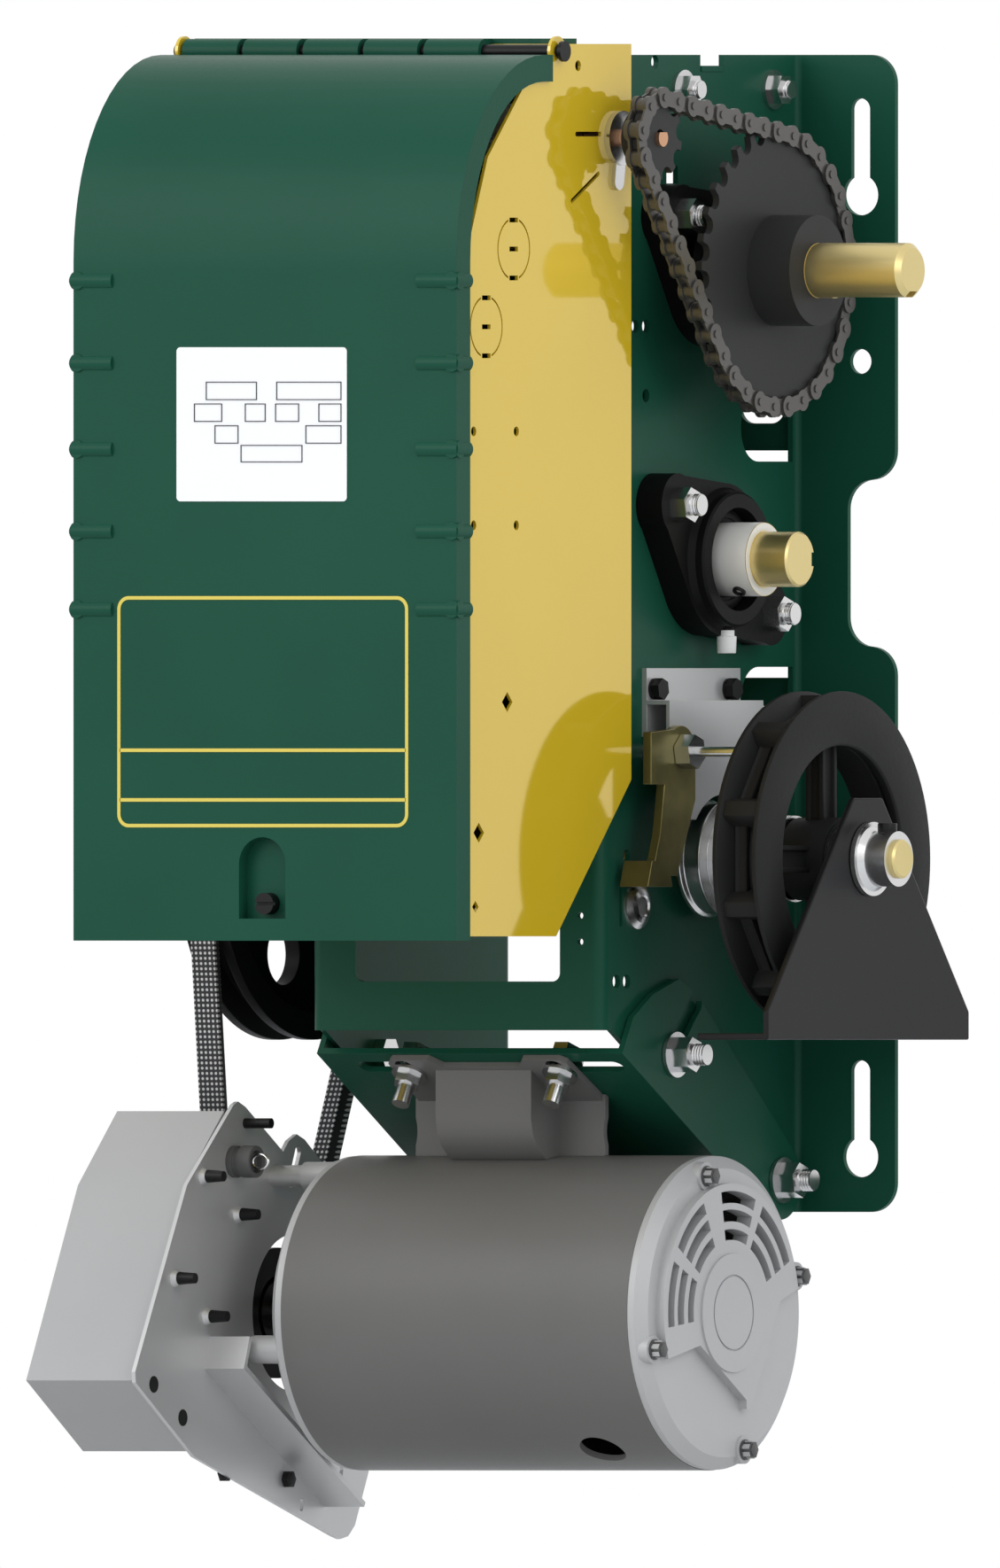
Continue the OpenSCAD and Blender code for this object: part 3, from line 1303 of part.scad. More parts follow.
// Cast end bell facing right, with ribs and vents; x0 is its seat on the shell
module end_bell(x0, depth, cap_r) {
    face = x0 + depth;
    p = motor_at;
    color(cast) difference() {
        union() {
            bar_x(motor_r - 3.05, x0 - 6, x0, p[0], p[1]);
            bar_x(motor_r - 0.3, x0, x0 + 3.4, p[0], p[1]);
            cone_x(motor_r - 0.3, motor_r - 6, x0 + 3.4, face - 4.6, p[0], p[1]);
            // Raised vent panel with its downward rib
            along_x(face - 6, face) at_motor() difference() {
                circle(59.5, $fn = 96);
                polygon([[-72, -27.5], [-57, -21.4], [-27.6, -15], [13, -40], [13, -44], [17, -44],
                    [28.5, -22.9], [33, -19.5], [31.8, -16], [43, 5.7], [70, 15], [90, -90], [-90, -90]]);
            }
            bar_x(27.3, face - 6, face + 1, p[0], p[1]);
            // Lugs of the through-bolts
            for (a = tie_angles) bar_x(6.5, x0 + 1, face - 3.4, p[0] + tie_r * cos(a), p[1] + tie_r * sin(a));
        }
        bar_x(motor_r - 8, x0 - 7, face - 8, p[0], p[1]);
        bar_x(rotor_shaft_r + run, x0 - 7, face + (cap_r > 16 ? -1 : 5), p[0], p[1]);
        // Groove round the bearing cap
        difference() {
            bar_x(cap_r, face + 0.2, face + 2, p[0], p[1]);
            bar_x(cap_r - 0.9, face - 1, face + 3, p[0], p[1]);
        }
        // Vent bands over the upper half
        for (band = [[33.5, 38.5], [42, 47.5], [50.5, 56]], g = [[155, 32], [116, 31.5], [68, 31.5], [25, 36]])
            along_x(face - 9, face + 1) at_motor() vent_sector(band, g[0], g[1]);
    }
    // Bearing seat joined to the face
    color(cast) difference() {
        bar_x(20, x0 + 1, face - 7.9, p[0], p[1]);
        bar_x(rotor_shaft_r + run, x0, face - 4, p[0], p[1]);
    }
}

// Ring sector from angle a0 over an angle w
module vent_sector(band, a0, w) {
    r = band[1] + 20;
    difference() {
        intersection() {
            circle(band[1], $fn = 96);
            polygon([[0, 0], r * [cos(a0), sin(a0)], r * [cos(a0 + w / 2), sin(a0 + w / 2)],
                r * [cos(a0 + w), sin(a0 + w)]]);
        }
        circle(band[0], $fn = 96);
    }
}

module right_end_bell() {
    bell_h = 12.3;
    end_bell(shell_x1, bell_h, 17.6);
    x = shell_x1 + bell_h - 3.4;
    color(zinc) for (a = tie_angles)
        hex_x(7.4, x + 0.02, x + 4.6, motor_at[0] + tie_r * cos(a), motor_at[1] + tie_r * sin(a), 15);
}

module left_end_bell() {
    color(cast) {
        mirror([1, 0, 0]) end_bell(-shell_x0, 12.3, 15);
        // Long lugs that carry the belt plate
        for (a = tie_angles) bar_x(6.5, shell_x0 - 20, shell_x0 - 8,
            motor_at[0] + tie_r * cos(a), motor_at[1] + tie_r * sin(a));
    }
}

// Rotor on its shaft inside the shell
module motor_rotor() {
    color(zinc) {
        bar_x(rotor_shaft_r, belt_x - 14, shell_x1 + 10, motor_at[0], motor_at[1]);
        bar_x(40, -50, 62, motor_at[0], motor_at[1]);
    }
}

// Silver sheet behind the pulleys, fixed to the left end bell
module belt_plate() {
    x1 = belt_plate_x;
    color(zinc) {
        along_x(x1 - 2, x1) at_motor() difference() {
            polygon(plate_points);
            circle(36, $fn = 64);
            slot2([-2, 60], [4, 74], 5);
            for (q = [[-122.7, -32.8], [-97.2, -48.1]]) translate(q) circle(3.9, $fn = 24);
            slot2([41, -77], [42, -72], 3.4);
            slot2([7, -89.5], [7.6, -86.5], 3);
            for (q = clip_at) translate(q) circle(2.4, $fn = 24);
            translate([-42.2, 87]) circle(2.4, $fn = 24);
        }
        // Domed collars of the cable clips
        for (q = clip_at) difference() {
            cone_x(4.2, 3.2, x1, x1 + 2.4, motor_at[0] + q[0], motor_at[1] + q[1]);
            bar_x(2.4, x1 - 1, x1 + 3, motor_at[0] + q[0], motor_at[1] + q[1]);
        }
        // Standoffs to the end bell's lugs
        for (a = tie_angles) bar_x(5, x1 - 0.5, shell_x0 - 20, motor_at[0] + tie_r * cos(a),
            motor_at[1] + tie_r * sin(a));
        // Angle strap along the plate's lower part
        along_x(x1 - 0.5, x1 + 21.3) at_motor() polygon([[-73.2, -10.8], [-78.4, -25.6], [27.4, -89],
            [28.6, -86.9], [-75.5, -24.5], [-71.1, -11.5]]);
    }
}

// Sheet guard round the motor pulley, open above for the belt
module belt_guard() {
    x1 = belt_plate_x - 2.6;
    x0 = -178;
    t = 1.5;
    rear = [[42, -63.5], [52, -40], [52, 45], [18, 92.6]];
    color([0.71, 0.71, 0.71]) {
        difference() {
            along_x(x0, x1) at_motor() polygon(concat(guard_points, rear));
            // Inside, open above and behind for the belt
            along_x(x0 + t, x1 + 1) at_motor() polygon([[-56.4, 91], [-90.2, 57.8], [-135.1, -30.4],
                [-86.5, -62], [41, -62], [48, -47], [80, -47], [80, 130], [-56.4, 130]]);
            bar_x(19, x0 - 1, x0 + 4, motor_at[0], motor_at[1]);
        }
        // Flange that joins the guard to the belt plate
        along_x(x1 - 1.5, x1) at_motor() polygon([[-136, -30.6], [-87, -62.8], [-80, -62.8], [-80, -54],
            [-124, -26]]);
    }
}

// Screws that hold the guard and plate
module guard_screws() {
    x1 = belt_plate_x;
    color(dark) {
        // Conical tips of the cable clips
        for (q = clip_at) {
            bar_x(2.35, x1 - 1.5, x1 + 3, motor_at[0] + q[0], motor_at[1] + q[1]);
            cone_x(3, 2.4, x1 + 2.5, x1 + 11, motor_at[0] + q[0], motor_at[1] + q[1]);
        }
        bar_x(2.35, x1 - 4, x1 + 14, motor_at[0] - 42.2, motor_at[1] + 87);
        for (q = [[-122.7, -32.8], [-97.2, -48.1]])
            bar_x(3.85, x1 - 2.5, x1 + 0.2, motor_at[0] + q[0], motor_at[1] + q[1]);
    }
}

frame();
frame_straps();
top_plate();
top_plate_bolts();
blank_plug();
upper_bearings();
middle_bearings();
lower_bearings();
bearing_bolts();
control_box();
hinge_strip();
hinge_pin();
limit_bushings();
retaining_plate();
limit_switches();
circuit_board();
transformer();
contactors();
terminal_strip();
interlock_bracket();
interlock_screws();
hoist_lever();
lever_bolt();
output_shaft();
output_sprockets();
limit_wheel();
middle_shaft();
middle_sprockets();
input_shaft();
input_sprocket();
large_pulley();
clutch_drum();
guide_collar();
guide_bush();
hand_wheel();
chain_guide();
limit_shaft();
limit_sprocket();
open_limit_nut();
close_limit_nut();
limit_chain();
upper_drive_chain();
lower_drive_chain();
motor_plate();
pivot_bolts();
lock_bolts();
motor_base();
motor_bolts();
motor_shell();
right_end_bell();
left_end_bell();
motor_rotor();
motor_pulley();
v_belt();
belt_plate();
belt_guard();
guard_screws();
cover();
cover_plate();
latch_screw();
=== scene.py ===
# %% [markdown]
# # A jackshaft door operator, dressed for its picture
# The machine is already modelled to size as solids. It could be modelled again
# as smooth meshes, but two models of one machine soon disagree. So the picture
# starts from the solids, and adds what a maker adds last: paint, plating,
# printed lines, seals, washers and small screws.

# %% Load the solids
import math
import bpy
import bmesh
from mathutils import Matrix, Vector
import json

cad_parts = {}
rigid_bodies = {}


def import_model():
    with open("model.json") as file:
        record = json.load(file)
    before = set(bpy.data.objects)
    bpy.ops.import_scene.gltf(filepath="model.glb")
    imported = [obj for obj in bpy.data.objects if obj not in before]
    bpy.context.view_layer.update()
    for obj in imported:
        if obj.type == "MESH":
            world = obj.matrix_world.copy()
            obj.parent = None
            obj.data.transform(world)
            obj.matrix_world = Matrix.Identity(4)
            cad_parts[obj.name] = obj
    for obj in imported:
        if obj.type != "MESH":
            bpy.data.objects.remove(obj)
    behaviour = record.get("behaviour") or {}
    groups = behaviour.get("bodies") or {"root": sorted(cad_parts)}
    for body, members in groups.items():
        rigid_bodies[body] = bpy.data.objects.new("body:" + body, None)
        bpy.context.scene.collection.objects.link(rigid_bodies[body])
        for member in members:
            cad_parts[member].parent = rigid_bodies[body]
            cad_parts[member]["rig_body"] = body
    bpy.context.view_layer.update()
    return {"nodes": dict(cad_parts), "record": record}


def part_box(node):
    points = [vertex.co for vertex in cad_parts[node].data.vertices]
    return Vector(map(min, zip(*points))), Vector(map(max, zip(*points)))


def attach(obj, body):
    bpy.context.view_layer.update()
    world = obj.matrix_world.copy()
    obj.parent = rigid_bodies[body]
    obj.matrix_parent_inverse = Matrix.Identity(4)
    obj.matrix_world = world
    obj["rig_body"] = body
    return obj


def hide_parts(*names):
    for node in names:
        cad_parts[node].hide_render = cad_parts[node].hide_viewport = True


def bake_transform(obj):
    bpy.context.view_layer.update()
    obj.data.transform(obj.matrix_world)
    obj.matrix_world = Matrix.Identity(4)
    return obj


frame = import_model()
nodes = frame["nodes"]
print("solids loaded:", len(nodes))

# %% [markdown]
# The picture is a straight-on view without perspective, turned to the machine's
# right. A long lens from far away comes close to this. An orthographic camera is
# exact: its scale is the height of the frame in metres, near or far.

# %% Camera
VIEW_TURN = math.radians(31.5)
PIXELS_PER_MM = 2.46
IMAGE_H = 1770
AIM = Vector((-0.0602, -0.0369, -0.0496))
CAMERA_BACK = 3.0
CAMERA_REACH = 20

look = Vector((-math.sin(VIEW_TURN), math.cos(VIEW_TURN), 0))
bpy.ops.object.camera_add(location=AIM - look * CAMERA_BACK,
                          rotation=(math.radians(90), 0, VIEW_TURN))
camera = bpy.context.object
camera.data.type = "ORTHO"
camera.data.ortho_scale = IMAGE_H / PIXELS_PER_MM / 1000
camera.data.clip_end = CAMERA_REACH
bpy.context.scene.camera = camera
bpy.context.scene.view_settings.view_transform = "Standard"
print("frame height in metres:", round(camera.data.ortho_scale, 4))

# %% [markdown]
# Plated sheet only looks plated when it has something to mirror. A picture of a
# real room could surround it, but a plain studio is easier to control: a pale
# light from everywhere, and white wherever the camera or a glossy face looks.

# %% The studio
def add_node(tree, kind, operation=None, **inputs):
    """Adds a shader node and sets its inputs. An underscore stands for a space."""
    made = tree.nodes.new(f"ShaderNode{kind}")
    if operation:
        made.operation = operation
    for name, value in inputs.items():
        made.inputs[name.replace("_", " ")].default_value = value
    return made


def wire(tree, *pairs):
    """Links sockets two by two, the giving one first."""
    for giving, taking in pairs:
        tree.links.new(giving, taking)


def seen_by(tree, *rays):
    """A value of 1 where one of the named kinds of ray arrives, and 0 elsewhere."""
    paths = add_node(tree, "LightPath")
    seen = paths.outputs[f"Is {rays[0]} Ray"]
    for ray in rays[1:]:
        either = add_node(tree, "Math", "MAXIMUM")
        wire(tree, (seen, either.inputs[0]), (paths.outputs[f"Is {ray} Ray"], either.inputs[1]))
        seen = either.outputs[0]
    return seen


world = bpy.data.worlds.new("studio")
bpy.context.scene.world = world
world.use_nodes = True
sky = world.node_tree
sky.nodes.clear()
soft_light = add_node(sky, "Background", Color=(0.93, 0.96, 1.0, 1), Strength=0.95)
white_light = add_node(sky, "Background", Color=(1, 1, 1, 1))
pick = add_node(sky, "MixShader")
sky_out = add_node(sky, "OutputWorld")
wire(sky, (seen_by(sky, "Camera", "Transmission", "Glossy"), pick.inputs["Fac"]),
     (soft_light.outputs[0], pick.inputs[1]), (white_light.outputs[0], pick.inputs[2]),
     (pick.outputs[0], sky_out.inputs["Surface"]))
print("nodes of the studio:", len(sky.nodes))

# %% [markdown]
# Three lamps give the light a direction: a key lamp at the front left, one at
# the right for the side of the box, and a low one for what is in shadow. A sun
# would draw hard shadows. The width of a square lamp sets how soft they are.

# %% Lamps
LID_HEIGHT, MOTOR_HEIGHT = (0, -0.15, 0), (0, -0.15, -0.2)


def lamp(name, place, aim, size, watts):
    """A soft square lamp at a place, turned to face a point."""
    bpy.ops.object.light_add(type="AREA", location=place)
    light = bpy.context.object
    light.name = name
    light.data.shape = "SQUARE"
    light.data.size = size
    light.data.energy = watts
    light.rotation_euler = (Vector(aim) - Vector(place)).to_track_quat("-Z", "Y").to_euler()


lamp("key_lamp", (-1.2, -2.5, 1.1), LID_HEIGHT, 1.6, 20)
lamp("side_lamp", (2.4, -0.9, 0.9), LID_HEIGHT, 1.2, 9)
lamp("low_lamp", (0.6, -2.0, -1.2), MOTOR_HEIGHT, 1.4, 8)
print("lamps:", len(bpy.data.lights))

# %% [markdown]
# Paint, plating and rubber are all a colour with slow clouds in it, a gloss
# broken up by fine grain, and a small bump. A picture of each surface could be
# pasted on, and would stretch on curved faces. Noise in object coordinates fits
# any shape. They are in metres: a grain of a millimetre has a scale near 1000.

# %% The finish recipe
BUMP_DEPTH = 0.0004
LEAST_ROUGH = 0.03
COAT_ROUGH = 0.08


def linear(r, g, b):
    """Turns screen values from 0 to 255 into the linear colour Blender wants."""
    def one(v):
        v /= 255
        return v / 12.92 if v <= 0.04045 else ((v + 0.055) / 1.055) ** 2.4
    return (one(r), one(g), one(b), 1)


def finish(name, colour, metallic=0.0, rough=0.4, cloud=0.08, cloud_scale=9, grain_scale=900,
           grain=0.06, bump=0.05, bump_scale=None, stretch=(1, 1, 1), coat=0.0,
           gloss_level=0.5, ior=1.5, gloss_tint=(255, 255, 255)):
    """A procedural finish: colour clouds, roughness grain and a fine bump."""
    mat = bpy.data.materials.new(name)
    mat.use_nodes = True
    tree = mat.node_tree
    shader = tree.nodes["Principled BSDF"]
    shader.inputs["Metallic"].default_value = metallic
    shader.inputs["Specular IOR Level"].default_value = gloss_level
    shader.inputs["IOR"].default_value = ior
    shader.inputs["Specular Tint"].default_value = linear(*gloss_tint)
    if coat:
        shader.inputs["Coat Weight"].default_value = coat
        shader.inputs["Coat Roughness"].default_value = COAT_ROUGH
    coords = add_node(tree, "TexCoord").outputs["Object"]
    place = add_node(tree, "Mapping", Scale=stretch)
    slow = add_node(tree, "TexNoise", Scale=cloud_scale, Detail=3)
    shade = add_node(tree, "MapRange", From_Min=0.3, From_Max=0.7,
                     To_Min=1 - cloud, To_Max=1 + cloud)
    tint = add_node(tree, "VectorMath", "SCALE", Vector=linear(*colour)[:3])
    fine = add_node(tree, "TexNoise", Scale=grain_scale, Detail=2)
    gloss = add_node(tree, "MapRange", To_Min=max(LEAST_ROUGH, rough - grain),
                     To_Max=rough + grain)
    peel = add_node(tree, "TexNoise", Scale=bump_scale) if bump_scale else fine
    relief = add_node(tree, "Bump", Strength=bump, Distance=BUMP_DEPTH)
    wire(tree, (coords, place.inputs["Vector"]), (coords, slow.inputs["Vector"]),
         (slow.outputs["Fac"], shade.inputs["Value"]),
         (shade.outputs["Result"], tint.inputs["Scale"]),
         (tint.outputs["Vector"], shader.inputs["Base Color"]),
         (place.outputs["Vector"], fine.inputs["Vector"]),
         (fine.outputs["Fac"], gloss.inputs["Value"]),
         (gloss.outputs["Result"], shader.inputs["Roughness"]),
         (place.outputs["Vector"], peel.inputs["Vector"]),
         (peel.outputs["Fac"], relief.inputs["Height"]),
         (relief.outputs["Normal"], shader.inputs["Normal"]))
    return mat


print("white in linear values:", linear(255, 255, 255))

# %% [markdown]
# Sheet and shafts are metal that is bright, plated or oiled. Plating could be a
# plain mirror, but rolled and turned metal is drawn out one way, so its grain is
# stretched. Yellow zinc is a clear film over metal: a very glossy layer with a
# high index of refraction does that best.

# %% Metal finishes
yellow_zinc = finish("yellow zinc", (216, 183, 40), rough=0.05, cloud=0.04, cloud_scale=5,
                     grain=0.02, bump=0.004, ior=2.4, gloss_tint=(255, 236, 190))
white_zinc = finish("white zinc", (212, 212, 212), metallic=1, rough=0.24, cloud=0.05,
                    grain=0.05, bump=0.004)
sheet_zinc = finish("sheet zinc", (198, 198, 198), metallic=0.55, rough=0.38, cloud=0.05,
                    grain=0.05, bump=0.006, stretch=(1, 14, 1), gloss_level=0.3)
olive_zinc = finish("olive zinc", (122, 115, 70), metallic=0.75, rough=0.32, cloud=0.22,
                    cloud_scale=60)
ring_steel = finish("ring steel", (228, 226, 221), metallic=0.15, rough=0.36, cloud=0.02,
                    grain=0.04, bump=0.01, stretch=(8, 1, 1))
gold_shaft = finish("gold shaft", (214, 196, 138), metallic=0.95, rough=0.36, grain=0.08,
                    bump=0.03, stretch=(8, 1, 1))
copper_shaft = finish("copper shaft", (206, 158, 124), metallic=0.9, rough=0.36,
                      stretch=(8, 1, 1))
oxide_black = finish("black oxide", (26, 26, 27), metallic=0.3, gloss_level=0.25)
sprocket_oxide = finish("sprocket oxide", (50, 50, 50), rough=0.44, cloud=0.10,
                        gloss_level=0.15)
chain_oiled = finish("oiled chain", (92, 90, 87), metallic=0.6, rough=0.36, cloud=0.10)
bush_bronze = finish("bush bronze", (170, 140, 84), metallic=1, rough=0.35)
cast_alloy = finish("cast alloy", (188, 188, 188), metallic=0.2, rough=0.48, cloud=0.04,
                    bump=0.12, bump_scale=700, gloss_level=0.2)
laminated_steel = finish("laminated steel", (96, 96, 98), metallic=0.8, rough=0.5,
                         stretch=(1, 20, 1))
screw_steel = finish("screw steel", (84, 84, 84), metallic=0.5, rough=0.38, bump=0.01)
print("metal finishes:", len(bpy.data.materials))

# %% [markdown]
# The frame, the lid, the motor and the castings are painted, and paint has a
# faint orange peel. Without any, a large flat face would look like paper. A
# coarser noise drives its bump, and a low gloss level keeps dark paint dark.

# %% Paints and plastics
enamel = finish("green enamel", (24, 78, 60), rough=0.36, cloud=0.05, bump=0.10,
                bump_scale=420, gloss_level=0.12)
motor_enamel = finish("motor enamel", (112, 111, 109), cloud=0.04, bump=0.08, bump_scale=500,
                      gloss_level=0.2)
guard_enamel = finish("guard enamel", (178, 178, 178), cloud=0.03, bump=0.06, bump_scale=500,
                      gloss_level=0.2)
casting_black = finish("black casting", (15, 15, 15), rough=0.48, cloud=0.14, bump=0.22,
                       bump_scale=300, gloss_level=0.10)
wheel_black = finish("black wheel casting", (36, 36, 36), rough=0.5, cloud=0.10, bump=0.20,
                     bump_scale=300, gloss_level=0.12)
belt_rubber = finish("belt rubber", (58, 58, 60), rough=0.75, cloud=0.10, grain_scale=1600,
                     bump=0.35, gloss_level=0.2)
seal_rubber = finish("seal rubber", (24, 24, 25), rough=0.6, grain_scale=1200, bump=0.12,
                     gloss_level=0.2)
grommet_rubber = finish("grommet rubber", (84, 84, 84), rough=0.55, grain_scale=1200,
                        bump=0.15, gloss_level=0.25)
white_nylon = finish("white nylon", (236, 236, 234), rough=0.42, cloud=0.02, gloss_level=0.3)
black_plastic = finish("black plastic", (24, 24, 25), rough=0.42, bump=0.10, gloss_level=0.2)
board_lacquer = finish("board lacquer", (24, 96, 52), rough=0.3, coat=0.3)
terminal_green = finish("terminal green", (46, 128, 74), rough=0.42, bump=0.04,
                        gloss_level=0.3)
coil_tape = finish("coil tape", (206, 176, 92), rough=0.5, cloud=0.05, bump=0.05,
                   stretch=(1, 1, 6), gloss_level=0.25)
label_white = finish("label white", (252, 252, 252), rough=0.5, cloud=0.01, grain_scale=1500,
                     gloss_level=0.2)
print_grey = finish("grey print", (60, 60, 62), rough=0.5, grain_scale=1500, gloss_level=0.2)
print_yellow = finish("yellow print", (226, 206, 96), rough=0.5, cloud=0.02,
                      grain_scale=1500, gloss_level=0.2)
print("finishes in all:", len(bpy.data.materials))

# %% [markdown]
# A V-belt is wrapped in woven cloth, whose threads show as fine light dots.
# Modelled, they would cost many thousands of faces. A pattern of cells with no
# randomness is an even grid, and the middle of each cell is a dot. It is laid
# out flat along the belt, because a pattern in space would miss its surface.

# %% The belt's weave
DOT_SPACING = 0.0024
DOT_SIZE = 0.28


def dotted(mat, spacing, size, colour):
    """Rows of fine light dots over a finish."""
    tree = mat.node_tree
    base = tree.nodes["Principled BSDF"].inputs["Base Color"]
    under = base.links[0].from_socket
    coords = add_node(tree, "TexCoord")
    flat = add_node(tree, "Mapping", Rotation=(math.radians(-90), 0, 0))
    grid = add_node(tree, "TexVoronoi", Scale=1 / spacing, Randomness=0)
    grid.voronoi_dimensions = "2D"
    near = add_node(tree, "Math", "LESS_THAN")
    near.inputs[1].default_value = size
    mix = add_node(tree, "Mix")
    mix.data_type = "RGBA"
    below, above, mixed = mix.inputs[6], mix.inputs[7], mix.outputs[2]
    above.default_value = colour
    wire(tree, (coords.outputs["Object"], flat.inputs["Vector"]),
         (flat.outputs["Vector"], grid.inputs["Vector"]),
         (grid.outputs["Distance"], near.inputs[0]), (near.outputs[0], mix.inputs["Factor"]),
         (under, below), (mixed, base))


dotted(belt_rubber, DOT_SPACING, DOT_SIZE, linear(200, 200, 200))
print("dots in a centimetre of belt:", round(0.01 / DOT_SPACING, 1))

# %% [markdown]
# Each solid gets the finish of its real piece. This could be done one by one,
# but the record names a material for every solid, and one table turns the names
# into finishes. Two sheets and the white plate share their material's name with
# other pieces, so they are changed after it.

# %% Dress the solids
FINISH_OF_SLOT = {
    "green_paint": enamel, "zinc_yellow": yellow_zinc, "zinc": white_zinc,
    "shaft_gold": gold_shaft, "black_cast": casting_black, "black_steel": oxide_black,
    "sprocket_steel": sprocket_oxide, "chain_steel": chain_oiled, "bronze": bush_bronze,
    "limit_copper": copper_shaft, "rubber": belt_rubber, "alu_cast": cast_alloy,
    "motor_paint": motor_enamel, "grey_paint": guard_enamel, "olive_zinc": olive_zinc,
    "white_plastic": white_nylon, "black_plastic": black_plastic,
    "board_green": board_lacquer, "transformer_steel": laminated_steel,
}
slot_of = {entry["node"]: entry["material_slot"] for entry in frame["record"]["subparts"]}


def dress(obj, mat):
    """Gives an object one material and nothing else."""
    obj.data.materials.clear()
    obj.data.materials.append(mat)


for node, slot in slot_of.items():
    dress(nodes[node], FINISH_OF_SLOT[slot])
for node in ("belt_plate", "interlock_bracket"):
    dress(nodes[node], sheet_zinc)
dress(nodes["cover_plate"], label_white)
print("solids dressed:", len(slot_of))

# %% [markdown]
# The machine hangs over a pale floor. Without one its underside would be lit as
# by open sky, and a grey one would show in the picture. So the camera and glossy
# faces see the floor white, and every other ray sees it grey.

# %% Floor
FLOOR_SIZE, FLOOR_Z = 8, -0.46
bpy.ops.mesh.primitive_plane_add(size=FLOOR_SIZE, location=(0, 0, FLOOR_Z))
floor = bpy.context.object
floor.name = "floor"
floor_paint = finish("floor paint", (196, 196, 196), rough=0.8)
tree = floor_paint.node_tree
white_face = add_node(tree, "BsdfDiffuse", Color=linear(240, 240, 240))
either_face = add_node(tree, "MixShader")
wire(tree, (seen_by(tree, "Camera", "Glossy"), either_face.inputs["Fac"]),
     (tree.nodes["Principled BSDF"].outputs[0], either_face.inputs[1]),
     (white_face.outputs[0], either_face.inputs[2]),
     (either_face.outputs[0], tree.nodes["Material Output"].inputs["Surface"]))
dress(floor, floor_paint)

# %% [markdown]
# The small pieces from here on are modelled as by hand. Their points could be
# computed, but a primitive that is added in its place, inset, extruded and
# bevelled shows how the piece is formed. Operators work on whatever is selected,
# so the first helpers select one piece, or the right faces of it, and no more.

# %% Helpers for hand modelling
SQUARE_ON = 0.9
CORNER_ANGLE = math.radians(35)
SMOOTH_ANGLE = math.radians(40)


def only(piece):
    """Selects one piece and nothing else."""
    bpy.ops.object.select_all(action="DESELECT")
    piece.select_set(True)
    bpy.context.view_layer.objects.active = piece


def settled(piece):
    """Moves a piece's place, turn and scale into its mesh."""
    only(piece)
    bpy.ops.object.transform_apply(location=True, rotation=True, scale=True)
    return piece


def added(add, scale=(1, 1, 1), **shape):
    """Adds a primitive with nothing else selected, and settles it."""
    bpy.ops.object.select_all(action="DESELECT")
    add(**shape)
    bpy.context.object.scale = scale
    return settled(bpy.context.object)


def edit_all(piece):
    """Opens a piece in edit mode with everything selected."""
    only(piece)
    bpy.ops.object.mode_set(mode="EDIT")
    bpy.ops.mesh.select_all(action="SELECT")


def faces_where(piece, test):
    """Opens a piece in edit mode with just the faces selected that pass a test."""
    only(piece)
    bpy.ops.object.mode_set(mode="EDIT")
    bpy.ops.mesh.select_mode(type="FACE")
    bpy.ops.mesh.select_all(action="DESELECT")
    mesh = bmesh.from_edit_mesh(piece.data)
    for face in mesh.faces:
        if test(face):
            face.select_set(True)
    bmesh.update_edit_mesh(piece.data)


def faces_to(piece, way):
    """Selects the faces that look one way."""
    faces_where(piece, lambda face: face.normal.dot(way) > SQUARE_ON)


def done_editing():
    bpy.ops.object.mode_set(mode="OBJECT")


def bevelled(piece, width, steps, angle):
    """Rounds the edges that are sharper than an angle."""
    bpy.ops.object.modifier_add(type="BEVEL")
    bevel = piece.modifiers[-1]
    bevel.width = width
    bevel.segments = steps
    bevel.limit_method = "ANGLE"
    bevel.angle_limit = angle
    bpy.ops.object.modifier_apply(modifier=bevel.name)


def complete(piece, name, body, slot, mat=None, soft=0.0004, steps=2):
    """Soft edges, smooth shading, a name, a body, and its slot's finish or another."""
    settled(piece)
    if soft:
        bevelled(piece, soft, steps, CORNER_ANGLE)
    bpy.ops.object.shade_smooth_by_angle(angle=SMOOTH_ANGLE)
    piece.name = name
    dress(piece, mat or FINISH_OF_SLOT[slot])
    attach(piece, body)
    return piece


print("edges are rounded from degrees:", round(math.degrees(CORNER_ANGLE)))

# %% [markdown]
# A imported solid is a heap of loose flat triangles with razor-sharp edges. Real
# sheet and castings have a small radius there, which catches a thin line of
# light. A shader can only fake it, so a real bevel is cut. A copy of each main
# solid is merged into one skin, its flats are made one face each, and its edges
# are bevelled. Weighted normals then keep the large flats flat.

# %% Soft-edged copies of the main solids
SAME_POINT = 0.00002
FLAT_ANGLE = math.radians(0.4)
SKIN_ANGLE = math.radians(32)
SOFT_EDGES = {
    "frame": 0.0004, "chain_guide": 0.0008, "motor_plate": 0.0004,
    "belt_guard": 0.0005, "belt_plate": 0.0003, "motor_shell": 0.0006,
    "right_end_bell": 0.0005, "left_end_bell": 0.0006, "motor_base": 0.0008,
    "upper_bearings": 0.0012, "middle_bearings": 0.0012, "hoist_lever": 0.0006,
    "interlock_bracket": 0.0004, "clutch_drum": 0.0003, "guide_collar": 0.0004,
    "output_sprockets": 0.0004, "large_pulley": 0.0005, "v_belt": 0.0004,
}


